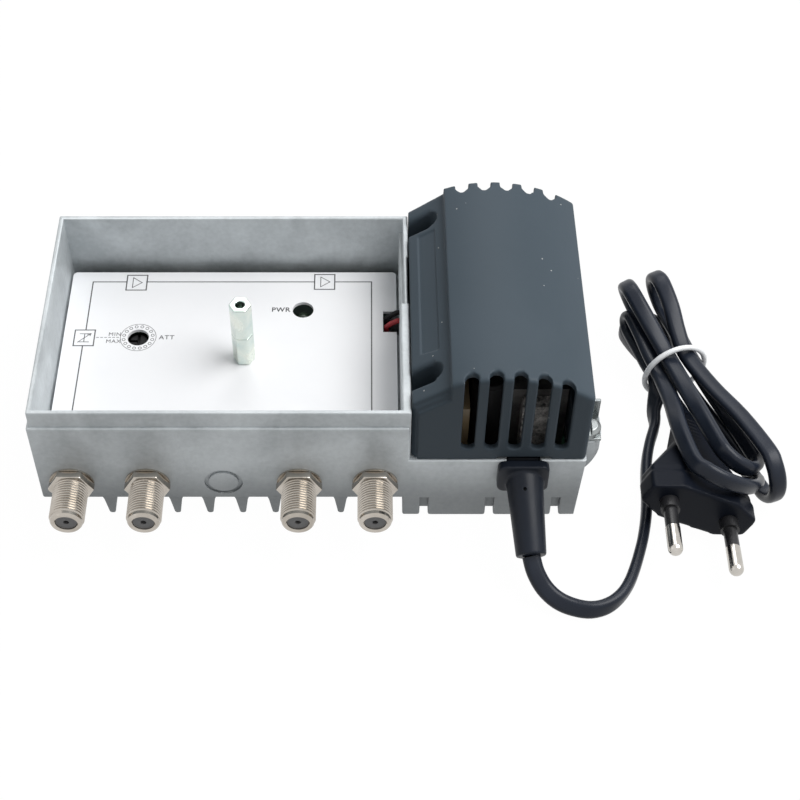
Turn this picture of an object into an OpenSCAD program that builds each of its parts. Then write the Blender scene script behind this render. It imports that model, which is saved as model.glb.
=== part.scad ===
// A tv signal amplifier: a die-cast box with an open amplifier compartment beside a covered
// power supply, coaxial sockets along its front and a flat mains lead tied in a hank.
// Millimetres, +Z up, sockets towards -Y. The origin lies on the surface that the object
// stands on, under the middle of the object without its lead.

/* [Amplifier box] */
// Depth of the casting from front to back
box_d = 75; // [72:0.5:95]
// Height of the compartment's rim
box_h = 44; // [41:0.5:60]
// Thickness of the cast walls
wall = 2; // [1.6:0.1:2.6]
// Thickness of the cast floor
floor_t = 2.2; // [1.6:0.1:2.6]
// Height of the thin lip that takes a lid
lip_h = 5.7; // [3:0.1:8]
// Step from the face of the wall in to the lip
lip_step = 0.7; // [0.4:0.1:1]

/* [Cooling fins] */
// Height of the fins
fin_h = 8.5; // [7:0.5:10]
// Distance from fin to fin
fin_pitch = 9.1; // [7:0.1:12]
// Width of a fin at the floor
fin_root = 3.3; // [2.4:0.1:4.5]
// Width of a fin at its tip
fin_tip = 1.5; // [1:0.1:2]

/* [Sockets] */
// Distance between neighbouring socket places
socket_pitch = 20.6; // [18:0.2:26]
// Distance from an end socket to the side of the box
socket_margin = 9; // [8.8:0.1:14]
// Height of the socket axes above the floor of the box
socket_rise = 4.7; // [4.5:0.1:6]
// Reach of a socket in front of the box
socket_reach = 14; // [11:0.5:18]
// Diameter of the socket thread
thread_d = 9.525; // [9.3:0.005:9.6]
// Width of the hexagon across its flats
hex_af = 11; // [10.5:0.1:12]
// Thickness of the hexagon
hex_t = 2.2; // [1.8:0.1:4]
// Diameter of a lock washer
washer_d = 12.2; // [11.8:0.1:15]
// Thickness of a lock washer
washer_t = 0.5; // [0.4:0.1:1.2]
// Diameter of the socket mouth
mouth_d = 5.9; // [5:0.1:6.4]
// Diameter of a centre contact
contact_d = 1.5; // [1:0.1:2]

/* [Face plate] */
// Height of the plate's top above the floor of the box
plate_rise = 14.3; // [13.5:0.1:17]
// Thickness of the plate
plate_t = 1; // [0.8:0.1:1.5]
// Gap between the plate and the side walls
plate_gap = 0.7; // [0.3:0.1:1]
// Gap between the plate and the back wall
plate_back_gap = 3; // [1:0.5:4]
// Diameter of the two holes in the plate
hole_d = 6.1; // [5.6:0.1:7]
// Attenuator hole, from the left and from the front
att_at = [24, 44.2];
// Lamp hole, from the left and from the front
lamp_at = [70.7, 54.9];
// Spacer column, from the left and from the front
column_at = [54.7, 36.5];

/* [Spacers] */
// Width of a spacer across its flats
spacer_af = 5.5; // [5:0.1:7]
// Height of the lower spacer
lower_h = 10.5; // [8:0.5:16]
// Height of the upper spacer
upper_h = 11.5; // [10:0.5:16]
// Diameter of the spacer studs
stud_d = 3; // [2.5:0.1:3.5]
// Length of the spacer studs
stud_len = 6; // [4:0.5:6]
// Diameter of the tapped hole in the top
tap_d = 2.5; // [2:0.1:3]
// Depth of the tapped hole in the top
tap_depth = 8; // [5:0.5:9]

/* [Power supply] */
// Width of the power supply beside the amplifier box
psu_w = 47.6; // [46.6:0.2:56]
// Height of its cast base
base_h = 24.7; // [22.5:0.1:27]
// Thickness of the base walls
base_wall = 2.2; // [1.8:0.1:2.8]
// Height of the cover's crown
cover_top = 57.5; // [55:0.5:70]
// Thickness of the cover
cover_wall = 2; // [1.6:0.1:2.6]
// Radius of the cover's crown
crown_r = 38.7; // [37:0.1:60]
// Middle of the crown, from the left of the power supply
crown_at = 23.8; // [22:0.1:25]
// Width of the sloping side
slope_w = 9.8; // [9.4:0.1:10.6]
// Height of the sloping side at its outer edge
slope_low = 46; // [43:0.5:48]
// Height of the sloping side at the crown
slope_high = 52.5; // [50:0.5:54]
// Set-back of the cover from the faces of the base
cover_inset = 0.6; // [0.4:0.1:1]
// Set-back of the cover on the side of the earth terminal
cover_side = 0.1; // [0:0.1:1]
// Width of a vent slot
vent_w = 3.6; // [2.4:0.1:4.4]
// Distance from vent to vent
vent_pitch = 6.2; // [5.8:0.1:6.8]
// First vent, from the left of the power supply
vent_at = 15.5; // [15:0.1:17]
// Height of the lower ends of the vents above the base
vent_rise = 4.2; // [3:0.1:6]
// Reach of the vents into the top at the front
vent_reach = 3.1; // [2.4:0.1:8]
// Reach of the vents into the top at the back
vent_back_reach = 3.4; // [2:0.1:6]
// Diameter of the screw pockets in the sloping side
pocket_d = 6; // [5.8:0.1:6.6]

/* [Earth terminal] */
// Reach of the terminal's lug beyond the side
lug_reach = 4.8; // [4.4:0.1:6]
// Radius of the lug's ends
lug_r = 3.6; // [3.3:0.1:4]
// Distance of the terminal screw from the front
lug_y = 10; // [9:0.5:14]
// Diameter of the terminal screw
earth_d = 3.5; // [3:0.1:4]
// Diameter of its head
earth_head_d = 6.6; // [6:0.1:7]

/* [Mains lead] */
// Width of the flat cord
cord_w = 5; // [4.6:0.1:5]
// Thickness of the flat cord
cord_t = 3; // [2.6:0.1:3.1]
// Length of the strain relief's sleeve
sleeve_len = 20; // [18:0.5:22]
// Diameter of the sleeve at the box
sleeve_d = 10; // [9:0.1:10.4]
// Diameter of the sleeve at its end
sleeve_end_d = 8.2; // [7:0.1:9]
// Width of the plug's face
plug_w = 32.6; // [32:0.1:35]
// Thickness of the plug's face
plug_t = 13.7; // [13:0.1:14]
// Length of the plug behind its face
plug_len = 35; // [33:0.5:37]
// Distance between the plug's pins
pin_pitch = 18.8; // [17.5:0.1:19.2]
// Diameter of the plug's pins
pin_d = 4; // [3.9:0.01:4.1]
// Length of the plug's pins
pin_len = 18.6; // [18:0.1:20]
// Length of the bare ends of the pins
pin_bare = 9; // [8:0.1:10]

/* [Fits] */
// Clearance round a part that is pushed or screwed into place
fit = 0.05; // [0.02:0.01:0.1]
// Clearance round the turning attenuator knob
turn_fit = 0.08; // [0.05:0.01:0.1]
// Clearance round parts that only pass through
pass = 0.4; // [0.2:0.05:0.6]

/* [Hidden] */
$fn = 48;
eps = 0.01;

// Overall places, measured from the front left corner of the box on the standing surface
box_w = 4 * socket_pitch + 2 * socket_margin;
psu_r = box_w + psu_w;
floor_z = fin_h + floor_t;
mid_x = (psu_r + lug_reach) / 2;
mid_y = (box_d - socket_reach) / 2;
socket_z = floor_z + socket_rise;
plate_z = floor_z + plate_rise;
socket_x = [for (k = [-2, -1, 1, 2]) box_w / 2 + k * socket_pitch];

// Colours
cast_grey = [0.66, 0.67, 0.67];
nickel = [0.72, 0.70, 0.66];
zinc = [0.80, 0.82, 0.76];
slate = [0.25, 0.29, 0.33];
navy = [0.12, 0.14, 0.18];
circuit_green = [0.10, 0.32, 0.20];
black = [0.07, 0.07, 0.08];

// Casting details
ledge_w = 2.5;
ledge_y = 12;
boss_r = 3;
pillar_r = 4.2;
blank_r = 4.6;
blank_groove = 1.2;
blank_depth = 0.7;
plate_corner = 1.2;
divider_front = 40;
divider_back = 57.5;
divider_pad = 0.4;
divider_in = 1;
skirt_web = 1.2;
skirt_web_low = 1.3;
fin_flare = 1.5;
fin_flare_h = 2.2;
window_front = 28.7;
window_back = 20.7;
window_y = [box_d - window_front, box_d - window_back];
window_gap = 1.3;
window_z = plate_z + window_gap;
window_h = 5.5;
shank_len = 4;
nose_len = 1;
nose_edge = 0.6;
nose_in = 0.4;
rim_in = 0.9;
insulator_in = 0.6;
contact_in = 2.4;
socket_boss_r = 6.6;
skirt_lap = 1.4;
skirt_slot = 2.3;
skirt_slot_h = 8;
skirt_slot_in = 3.4;
psu_fin_in = 9;
psu_fin_end = 8;
base_draft = 1.1;
lug_foot = 12;
lug_edge = 4;
lug_span = 4.4;

// Boards and what stands on them
board_t = 1.6;
board_top = socket_z - contact_d / 2 - fit;
board_x = wall + ledge_w + pass;
board_y = 11;
board_back = 1.5;
contact_lap = 4;
contact_end = board_y + contact_lap;
board_screw_d = 3;
board_screw_head = [5.6, 2];
front_hole = [19, 20];
back_hole = [12, 11];
board_holes = [front_hole, [box_w - front_hole[0], front_hole[1]],
               [back_hole[0], box_d - back_hole[1]], [box_w - back_hole[0], box_d - back_hole[1]]];
module_at = [28, 55];
module_size = [20, 8, 6];
side_module_in = 20;
side_module_y = 26;
side_module_size = [8, 19, 6];
can_at = [[9.6, 26], [35, 21], [60, 20]];
can_side = 9;
can_h = 7;
can_corner = 1;
knob_d = 7;
knob_stem_d = 4.8;
knob_foot = 1.5;
case_size = [10, 10, 6.5];
lamp_d = 5;
lamp_drop = 1.2;
header_size = [3.8, 7.6, 8.4];
header_at = [box_w - wall - ledge_w - pass - header_size[0], (window_y[0] + window_y[1]) / 2];
notch_in = 2.1;
lead_d = 1.5;
lead_gap = 0.2;
lead_half = 1.6;
lead_x = box_w - wall - ledge_w - notch_in + lead_gap + lead_d / 2;
lead_drop = 6.2;
knob_drop = 0.6;
knob_top = plate_z - plate_t - knob_drop;

// Power supply inside
psu_board_rise = 4;
psu_top = floor_z + psu_board_rise + board_t;
psu_board_in = 4;
psu_board_x = box_w + psu_board_in;
psu_board_y = 6;
left_hole = [7.6, 19];
right_hole = [7.4, 9];
middle_hole_y = 38;
psu_holes = [[box_w + left_hole[0], box_d - left_hole[1]], [psu_r - right_hole[0], middle_hole_y],
             [psu_r - right_hole[0], box_d - right_hole[1]]];
psu_screw_len = psu_board_rise + board_t + floor_t / 4;
pocket_in = 5.6;
pocket_front = 10.4;
pocket_back = 8.2;
pocket_at = [[box_w + pocket_in, pocket_front], [box_w + pocket_in, box_d - pocket_back]];
pocket_wall = 1.5;
pocket_slot = 8;
step_w = 0.75;
step_d = 0.8;
step_slant = 1.4;
pocket_floor = 2;
cover_screw_d = 3;
cover_screw_head = [5.4, 2.2];
cover_screw_len = 10;
base_boss_r = 4;
core_size = [15, 20, 24];
core_in = 27.4;
core_y = 12;
core_at = [box_w + core_in, core_y];
core_leg = 2.6;
winding_out = 4;
tall_can_at = [21.8, 14.6];
tall_can_h = 27;
short_can_at = [18.2, 30];
short_can_h = 22;
can_r = 5;
can_edge = 0.8;
film_at = [10.8, 6.8];
film_size = [5.2, 14, 22];
fuse_in = 8;
fuse_y = 20;
fuse_len = 20;
fuse_r = 2.6;
fuse_rise = 3.4;
clip_size = [6.6, 5, 5];
clip_in = 1;
sink_at = [37.4, 42];
sink_size = [1.6, 18, 26];
regulator_y = 46;
regulator_size = [4.6, 10, 16];

// Earth terminal
lug_x = psu_r + lug_reach - lug_r;
clamp_t = 1;
clamp_side = 6.4;
clamp_tab_h = 7.6;
clamp_back = lug_y + lug_span + 1.2;
earth_head_h = 2.6;
earth_len = 6.5;
relief = 0.8;
relief_h = 13;
relief_wall = 1.6;

// Strain relief
gland_in = 30.8;
gland_x = box_w + gland_in;
gland_z = 18.4;
flange = [13.8, 10.6, 2.6];
flange_rise = 1.5;
neck = [9, 9];
inner_flange = [12, 10, 2];
sleeve_tilt = 23;
sleeve_swing = 3.75;
sleeve_root = [gland_x + 0.5, -flange[2], gland_z];
sleeve_dir = [sin(sleeve_swing) * cos(sleeve_tilt), -cos(sleeve_swing) * cos(sleeve_tilt),
              -sin(sleeve_tilt)];
sleeve_tip = sleeve_root + sleeve_len * sleeve_dir;

// Plug
plug_at = [179.4, -6.5, 10.8];
plug_yaw = -2;
plug_pitch = -5.5;
plug_roll = 24;
plug_end = plug_point([0, plug_len, 0]);

// Hank: its middle, its turn about Z, and the ring that ties it
hank_at = [179, 44.6];
hank_turn = 18;
// Its own axes: u along it away from the plug, v across it
hank_along = [-sin(hank_turn), cos(hank_turn), 0];
hank_across = [cos(hank_turn), sin(hank_turn), 0];
tie_d = 1.6;
tie_r = 8.6;
tie_z = tie_r + tie_d + 0.05;

// Where the flat lead runs between the strain relief and the hank
lead_route = [
  [134, -24.4, 8.2], [136.4, -27.7, 5.5], [139.9, -30.3, 3.6], [144.2, -32, 2.8],
  [148.8, -32.7, 2.7], [153.2, -31.4, 2.7], [156.8, -28.4, 2.7], [159.5, -24.4, 2.7],
  [161.6, -19.6, 2.7], [163.4, -14.5, 2.7], [164.9, -9.6, 2.7], [166.4, -3, 2.7],
  [167.4, 4, 2.7], [168, 11.5, 2.7], [168.9, 17.5, 2.7], [170.4, 23.4, 2.7]
];

// The hank's runs cross the tie at these places across it and above its middle
tie_places = [
  [-5.7, -1.6], [-5.6, 2], [-0.1, 0], [-2.5, 5.6], [5.5, 1.8], [3, 5.6], [1.9, -4.9], [-1.9, -4.9]
];
// Tilt of the cord's wide side at the tie, run by run
tie_tilts = [0, 0, 0, 0, 0, 0, 90, 90];
// The turns at the far end: distance along, place of the run that arrives, of the run that leaves
far_turns = [
  [18, [-5.8, 9.6], [-5.8, 16], 0], [22, [0, 8], [-5.2, 22.3], 0],
  [23, [8.2, 8], [4.8, 22.3], 0], [22.5, [7, 2.7], [-4.6, 2.7], 0]
];
// The turns at the plug's end, in the same form, with their lift over the plug
near_turns = [
  [-39.5, [-14.4, 21.6], [6, 6.4], 3.7], [-36, [-5.2, 21], [6.8, 12.4], 0],
  [-40.5, [7.7, 18.9], [8.5, 2.1], 0]
];
run_steps = 6;
turn_steps = 6;
hank_start = [-12, [-10.7, 2.8], 90];
hank_end = [hank_u(plug_end), [hank_v(plug_end), plug_end[2]], 180 - plug_roll];

// Small helpers
function unit(a) = a / norm(a);
function mix(a, b, t) = a + (b - a) * t;
function ease(t) = t * t * (3 - 2 * t);
function plug_point(p) =
  let (a = [p[0] * cos(plug_roll) + p[2] * sin(plug_roll), p[1],
            p[2] * cos(plug_roll) - p[0] * sin(plug_roll)],
       b = [a[0], a[1] * cos(plug_pitch) - a[2] * sin(plug_pitch),
            a[1] * sin(plug_pitch) + a[2] * cos(plug_pitch)])
  plug_at + [b[0] * cos(plug_yaw) - b[1] * sin(plug_yaw),
             b[0] * sin(plug_yaw) + b[1] * cos(plug_yaw), b[2]];

function hank_u(p) = (p[0] - hank_at[0]) * hank_along[0] + (p[1] - hank_at[1]) * hank_along[1];
function hank_v(p) = (p[0] - hank_at[0]) * hank_across[0] + (p[1] - hank_at[1]) * hank_across[1];
function hank_point(s) =
  [hank_at[0], hank_at[1], 0] + s[0] * hank_along + s[1] * hank_across + [0, 0, s[2]];
function tilt_of(turn) = let (c = turn[1] - turn[2], s = c[1] > 0 ? c : -c)
  c[1] == 0 ? 90 : atan2(-s[0], s[1]);

// Run number k: [u, place, tilt] at its start, at the tie and at its end
function run_start(k) = k == 0 ? hank_start
  : k % 2 == 1 ? let (t = far_turns[(k - 1) / 2]) [t[0], t[2], tilt_of(t)]
  : let (t = near_turns[k / 2 - 1]) [t[0], t[2], tilt_of(t)];
function run_finish(k) = k == 7 ? hank_end
  : k % 2 == 0 ? let (t = far_turns[k / 2]) [t[0], t[1], tilt_of(t)]
  : let (t = near_turns[(k - 1) / 2]) [t[0], t[1], tilt_of(t)];
function run_tie(k) = [0, tie_places[k] + [0, tie_z], tie_tilts[k]];
function between(a, b, t) =
  let (w = mix(a[1], b[1], ease(t)))
  [mix(a[0], b[0], t), w[0], w[1], mix(a[2], b[2], ease(t))];
function run_points(k) =
  let (a = run_start(k), m = run_tie(k), b = run_finish(k), h = run_steps / 2)
  [for (i = [0 : run_steps]) i < h ? between(a, m, i / h) : between(m, b, i / h - 1)];
function turn_points(turn, way) =
  let (mid = (turn[1] + turn[2]) / 2, half = (turn[1] - turn[2]) / 2,
       bulge = min(norm(half), 9), tilt = tilt_of(turn))
  [for (i = [1 : turn_steps - 1]) let (a = 180 * i / turn_steps)
    [turn[0] + way * bulge * sin(a), mid[0] + half[0] * cos(a),
     mid[1] + half[1] * cos(a) + turn[3] * sin(a), tilt]];
hank_path = [for (k = [0 : 7]) each concat(run_points(k),
  k == 7 ? [] : k % 2 == 0 ? turn_points(far_turns[k / 2], 1)
         : turn_points(near_turns[(k - 1) / 2], -1))];

// Flat sections and the tubes that follow them
core_r = cord_t / 2;
core_off = cord_w / 2 - core_r;
six_sides = [[cord_w / 2, 0], [core_off, core_r], [-core_off, core_r],
             [-cord_w / 2, 0], [-core_off, -core_r], [core_off, -core_r]];
eight_sides = [for (s = [[1, 0.4], [0.62, 1], [-0.62, 1], [-1, 0.4],
                         [-1, -0.4], [-0.62, -1], [0.62, -1], [1, -0.4]])
  [s[0] * cord_w / 2, s[1] * core_r]];
function round_section(d) = [for (i = [0 : 7]) d / 2 * [cos(45 * i), sin(45 * i)]];
function heading(p, i) = unit(p[min(i + 1, len(p) - 1)] - p[max(i - 1, 0)]);
function square_to(a, t) = unit(a - (a * t) * t);
function ring_at(p, t, wide, section) = [for (s = section) p + s[0] * wide + s[1] * cross(t, wide)];

hank_points = [for (s = hank_path) hank_point(s)];
hank_headings = [for (i = [0 : len(hank_points) - 1])
  i == 0 ? hank_along : heading(hank_points, i)];
hank_wide = [for (i = [0 : len(hank_points) - 1]) let (a = hank_path[i][3])
  square_to(cos(a) * hank_across + sin(a) * [0, 0, 1], hank_headings[i])];
lead_points = concat([sleeve_tip], lead_route, [hank_points[0]]);
lead_twist = 7;
lead_headings = [for (i = [0 : len(lead_points) - 1]) i == 0 ? sleeve_dir
  : i == len(lead_points) - 1 ? hank_along : heading(lead_points, i)];
lead_wide = [for (i = [0 : len(lead_points) - 1])
  let (t = lead_headings[i], a = 90 * min(i / lead_twist, 1), level = unit([-t[1], t[0], 0]))
  square_to(cos(a) * level + sin(a) * [0, 0, 1], t)];

// Least gap of the hank to itself, from points along its two cores
function cores(i, t) = let (p = mix(hank_points[i], hank_points[i + 1], t),
                            w = mix(hank_wide[i], hank_wide[i + 1], t) * core_off) [p - w, p, p + w];
function apart(a, b) = min([for (p = a) for (q = b) norm(p - q)]);
function hank_gap() =
  let (n = len(hank_points) - 1, c = [for (i = [0 : n - 1]) for (t = [0, 0.33, 0.67]) cores(i, t)])
  min([for (i = [0 : len(c) - 1]) for (j = [i + 15 : 1 : len(c) - 1])
    norm(c[i][1] - c[j][1]) > 3 * cord_w ? 99 : apart(c[i], c[j])]) - cord_t;

// Puts the middle of the object, without its lead, over the origin
module placed() {
  translate([-mid_x, -mid_y, 0]) children();
}

module skin(rings) {
  n = len(rings[0]);
  last = (len(rings) - 1) * n;
  sides = [for (i = [0 : len(rings) - 2]) for (j = [0 : n - 1])
    let (a = i * n + j, b = i * n + (j + 1) % n) each [[a, a + n, b], [b, a + n, b + n]]];
  caps = [for (j = [1 : n - 2]) each [[0, j, j + 1], [last, last + j + 1, last + j]]];
  polyhedron([for (r = rings) each r], concat(sides, caps));
}

module tube(points, first, final, wide_way, section) {
  n = len(points) - 1;
  skin([for (i = [0 : n])
    let (t = i == 0 ? unit(first) : i == n ? unit(final) : heading(points, i))
    ring_at(points[i], t, square_to(wide_way, t), section)]);
}

module rounded(w, h, r) {
  square([w - 2 * r, h], center = true);
  square([w, h - 2 * r], center = true);
  for (x = [-1, 1]) for (y = [-1, 1]) translate([x * (w / 2 - r), y * (h / 2 - r)]) circle(r);
}

// A cylinder along +Y from the given point
module along_y(at, len, r, r2 = undef) {
  translate(at) rotate([-90, 0, 0]) cylinder(h = len, r1 = r, r2 = r2 == undef ? r : r2);
}

module screw(at, d, head, len) {
  translate([at[0], at[1], at[2] - len]) cylinder(h = len + eps, d = d);
  translate(at) cylinder(h = head[1] * 0.6, d = head[0]);
  translate([at[0], at[1], at[2] + head[1] * 0.6])
    cylinder(h = head[1] * 0.4, d1 = head[0], d2 = head[0] * 0.7);
}

// Cast housing
module fin(x, len) {
  translate([x, (box_d + len) / 2, 0]) rotate([90, 0, 0]) linear_extrude(len)
    for (side = [0, 1]) mirror([side, 0])
      polygon([[-eps, 0], [fin_tip / 2, 0], [fin_root / 2, fin_h - fin_flare_h],
               [fin_root / 2 + fin_flare / 3, fin_h - fin_flare_h / 3],
               [fin_root / 2 + fin_flare, fin_h + eps], [-eps, fin_h + eps]]);
}

module box_shell() {
  difference() {
    translate([0, 0, fin_h]) cube([box_w, box_d, box_h - fin_h]);
    translate([wall, wall, floor_z])
      cube([box_w - 2 * wall, box_d - 2 * wall, box_h]);
    translate([0, 0, box_h - lip_h]) difference() {
      translate([-1, -1, 0]) cube([box_w + 2, box_d + 2, lip_h + 1]);
      translate([lip_step, lip_step, -1]) cube([box_w + 2, box_d - 2 * lip_step, lip_h + 3]);
    }
    translate([box_w - wall - 1, divider_front, box_h - lip_h])
      cube([divider_in + 1, box_d - wall - divider_front, lip_h + 1]);
  }
  for (y = [[lip_step, divider_front], [divider_back, box_d - lip_step]])
    translate([box_w - eps, y[0], base_h - eps])
      cube([divider_pad + eps, y[1] - y[0], box_h - base_h + eps]);
}

module base_shell() {
  difference() {
    translate([box_w - skirt_lap, 0, 0]) cube([psu_w + skirt_lap, box_d, base_h]);
    translate([box_w + base_wall, base_wall, floor_z])
      cube([psu_w - 2 * base_wall, box_d - 2 * base_wall, base_h]);
    translate([box_w - skirt_lap + base_wall, base_wall, -1])
      cube([psu_w + skirt_lap - 2 * base_wall, box_d - 2 * base_wall, fin_h + 1]);
    translate([0, box_d + 1, 0]) rotate([90, 0, 0]) linear_extrude(box_d + 2)
      polygon([[psu_r - base_draft, -eps], [psu_r + 1, -eps], [psu_r + 1, base_h], [psu_r, base_h]]);
    for (k = [0 : floor((psu_w - psu_fin_end) / (2 * fin_pitch))]) for (y = [-1, box_d - base_wall - 1])
      translate([box_w + skirt_slot_in + 2 * k * fin_pitch, y, -1])
        cube([skirt_slot, base_wall + 2, skirt_slot_h + 1]);
  }
  for (x = [box_w + psu_fin_in : fin_pitch : psu_r - base_wall - fin_root])
    fin(x, box_d - 2 * base_wall + 2 * eps);
  for (k = [0 : floor((psu_w - psu_fin_end) / (2 * fin_pitch))])
    for (y = [base_wall - eps, box_d - base_wall - skirt_web + eps])
      translate([box_w + skirt_slot_in + 2 * k * fin_pitch - skirt_web, y, skirt_web_low])
        cube([skirt_slot + 2 * skirt_web, skirt_web, fin_h + eps - skirt_web_low]);
}

module lug() {
  intersection() {
    translate([lug_x, lug_y, 0]) {
      cylinder(h = base_h, r = lug_r);
      translate([0, lug_span, 0]) cylinder(h = base_h, r = lug_r);
      translate([-lug_r, 0, 0]) cube([2 * lug_r, lug_span, base_h]);
    }
    translate([0, box_d, 0]) rotate([90, 0, 0]) linear_extrude(box_d)
      polygon([[psu_r - 1, base_h], [psu_r + lug_reach + 1, base_h],
               [psu_r + lug_reach + 1, base_h - lug_edge], [psu_r, lug_foot], [psu_r - 1, lug_foot]]);
  }
}

module housing_solids() {
  box_shell();
  base_shell();
  for (k = [1 : floor((box_w - fin_root) / fin_pitch - 0.2)]) fin(k * fin_pitch, box_d - 2);
  for (x = socket_x) along_y([x, wall - eps, socket_z], shank_len - wall, socket_boss_r);
  for (x = [wall - eps, box_w - wall - ledge_w + eps]) translate([x, ledge_y, floor_z - eps])
    cube([ledge_w, box_d - plate_back_gap - wall - ledge_y, plate_rise - plate_t + eps]);
  translate([column_at[0], column_at[1], floor_z - eps])
    cylinder(h = plate_rise - plate_t + eps, r = pillar_r);
  for (p = board_holes) translate([p[0], p[1], floor_z - eps])
    cylinder(h = board_top - board_t - floor_z + eps, r = boss_r);
  for (p = psu_holes) translate([p[0], p[1], floor_z - eps])
    cylinder(h = psu_board_rise + eps, r = boss_r);
  for (p = pocket_at) translate([p[0], p[1], floor_z - eps])
    cylinder(h = base_h - floor_z + eps, r = base_boss_r);
  lug();
}

module housing() color(cast_grey) placed() difference() {
  housing_solids();
  for (x = socket_x) along_y([x, -1, socket_z], shank_len + 2, thread_d / 2 + fit);
  translate([box_w / 2, blank_depth, socket_z]) rotate([90, 0, 0]) difference() {
    cylinder(h = 2, r = blank_r + blank_groove / 2);
    translate([0, 0, -1]) cylinder(h = 4, r = blank_r - blank_groove / 2);
  }
  translate([column_at[0], column_at[1], plate_z - plate_t - stud_len - 2])
    cylinder(h = stud_len + 3, d = stud_d + 2 * fit);
  for (p = board_holes) translate([p[0], p[1], floor_z - floor_t / 2]) {
    cylinder(h = plate_rise, d = board_screw_d + 2 * fit);
  }
  for (p = psu_holes) translate([p[0], p[1], floor_z - floor_t / 2])
    cylinder(h = psu_board_rise + floor_t, d = board_screw_d + 2 * fit);
  for (p = pocket_at) translate([p[0], p[1], base_h - cover_screw_len])
    cylinder(h = cover_screw_len + 1, d = cover_screw_d + 2 * fit);
  translate([box_w - wall - ledge_w - 1, window_y[0], window_z])
    cube([wall + ledge_w + 2, window_y[1] - window_y[0], window_h]);
  translate([box_w - wall - ledge_w - 1, window_y[0], floor_z])
    cube([ledge_w + 1, window_y[1] - window_y[0], plate_rise]);
  translate([gland_x - neck[0] / 2 - fit, -1, gland_z - neck[1] / 2 - fit])
    cube([neck[0] + 2 * fit, base_wall + 2, base_h]);
  translate([lug_x, lug_y, base_h + clamp_t - earth_len - 0.5])
    cylinder(h = earth_len + 2, d = earth_d + 2 * fit);
}

// Amplifier compartment
module face_plate() color("whitesmoke") placed() difference() {
  w = box_w - 2 * wall - 2 * plate_gap;
  d = box_d - 2 * wall - plate_back_gap - plate_gap;
  translate([box_w / 2, wall + plate_gap + d / 2, plate_z - plate_t])
    linear_extrude(plate_t) rounded(w, d, plate_corner);
  for (p = [att_at, lamp_at]) translate([p[0], p[1], plate_z - plate_t - 1])
    cylinder(h = plate_t + 2, d = hole_d);
  translate([column_at[0], column_at[1], plate_z - plate_t - 1])
    cylinder(h = plate_t + 2, d = stud_d + 2 * fit);
  translate([box_w - wall - ledge_w - notch_in, window_y[0], plate_z - plate_t - 1])
    cube([notch_in + 2 * ledge_w, window_y[1] - window_y[0], plate_t + 2]);
}

module spacer(z, h, hole_d, hole_h) {
  translate([column_at[0], column_at[1], z]) difference() {
    union() {
      cylinder(h = h, d = spacer_af / cos(30), $fn = 6);
      translate([0, 0, -stud_len]) cylinder(h = stud_len + eps, d = stud_d);
    }
    translate([0, 0, h - hole_h]) cylinder(h = hole_h + 1, d = hole_d);
  }
}

module lower_spacer() color(zinc) placed()
  spacer(plate_z, lower_h, stud_d + 2 * fit, stud_len + 1);

module upper_spacer() color(zinc) placed()
  spacer(plate_z + lower_h, upper_h, tap_d, tap_depth);

module coax_socket(x) color(nickel) placed() difference() {
  union() {
    along_y([x, -socket_reach, socket_z], nose_edge, thread_d / 2 - rim_in, thread_d / 2 - nose_in);
    along_y([x, -socket_reach + nose_edge - eps, socket_z], nose_len, thread_d / 2 - nose_in);
    along_y([x, -socket_reach + nose_len, socket_z], socket_reach - nose_len + shank_len, thread_d / 2);
    translate([x, -washer_t - hex_t, socket_z]) rotate([-90, 0, 0])
      cylinder(h = hex_t, d = hex_af / cos(30), $fn = 6);
  }
  along_y([x, -socket_reach - 1, socket_z], socket_reach + shank_len + 2, mouth_d / 2);
}
module coax_socket_1() coax_socket(socket_x[0]);
module coax_socket_2() coax_socket(socket_x[1]);
module coax_socket_3() coax_socket(socket_x[2]);
module coax_socket_4() coax_socket(socket_x[3]);

module lock_washers() color("silver") placed() for (x = socket_x) difference() {
  along_y([x, -washer_t, socket_z], washer_t, washer_d / 2);
  along_y([x, -washer_t - 1, socket_z], washer_t + 2, thread_d / 2 + fit);
}

module socket_insulators() color("ivory") placed() for (x = socket_x) difference() {
  along_y([x, -socket_reach + insulator_in, socket_z], socket_reach - insulator_in + shank_len,
          mouth_d / 2 - fit);
  along_y([x, -socket_reach, socket_z], socket_reach + shank_len + 1, contact_d / 2 + fit);
}

module socket_contacts() color("goldenrod") placed() for (x = socket_x)
  along_y([x, -socket_reach + contact_in, socket_z], socket_reach - contact_in + contact_end,
          contact_d / 2);

module amplifier_board() color(circuit_green) placed() difference() {
  translate([board_x, board_y, board_top - board_t])
    cube([box_w - 2 * board_x, box_d - wall - board_back - board_y, board_t]);
  for (p = board_holes) translate([p[0], p[1], 0]) cylinder(h = box_h, d = board_screw_d + pass);
  translate([column_at[0], column_at[1], 0]) cylinder(h = box_h, r = pillar_r + pass);
}

module amplifier_modules() color(black) placed() {
  translate([module_at[0], module_at[1], board_top]) cube(module_size);
  translate([box_w - side_module_in, side_module_y, board_top]) cube(side_module_size);
}

module filter_cans() color("lightgray") placed() for (p = can_at)
  translate([p[0], p[1], board_top]) linear_extrude(can_h)
    translate([can_side / 2, can_side / 2]) rounded(can_side, can_side, can_corner);

module attenuator_case() color(black) placed() translate([att_at[0], att_at[1], board_top])
  difference() {
    translate([-case_size[0] / 2, -case_size[1] / 2, 0]) cube(case_size);
    translate([0, 0, knob_foot]) cylinder(h = case_size[2], d = knob_d + 2 * turn_fit);
  }

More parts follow.
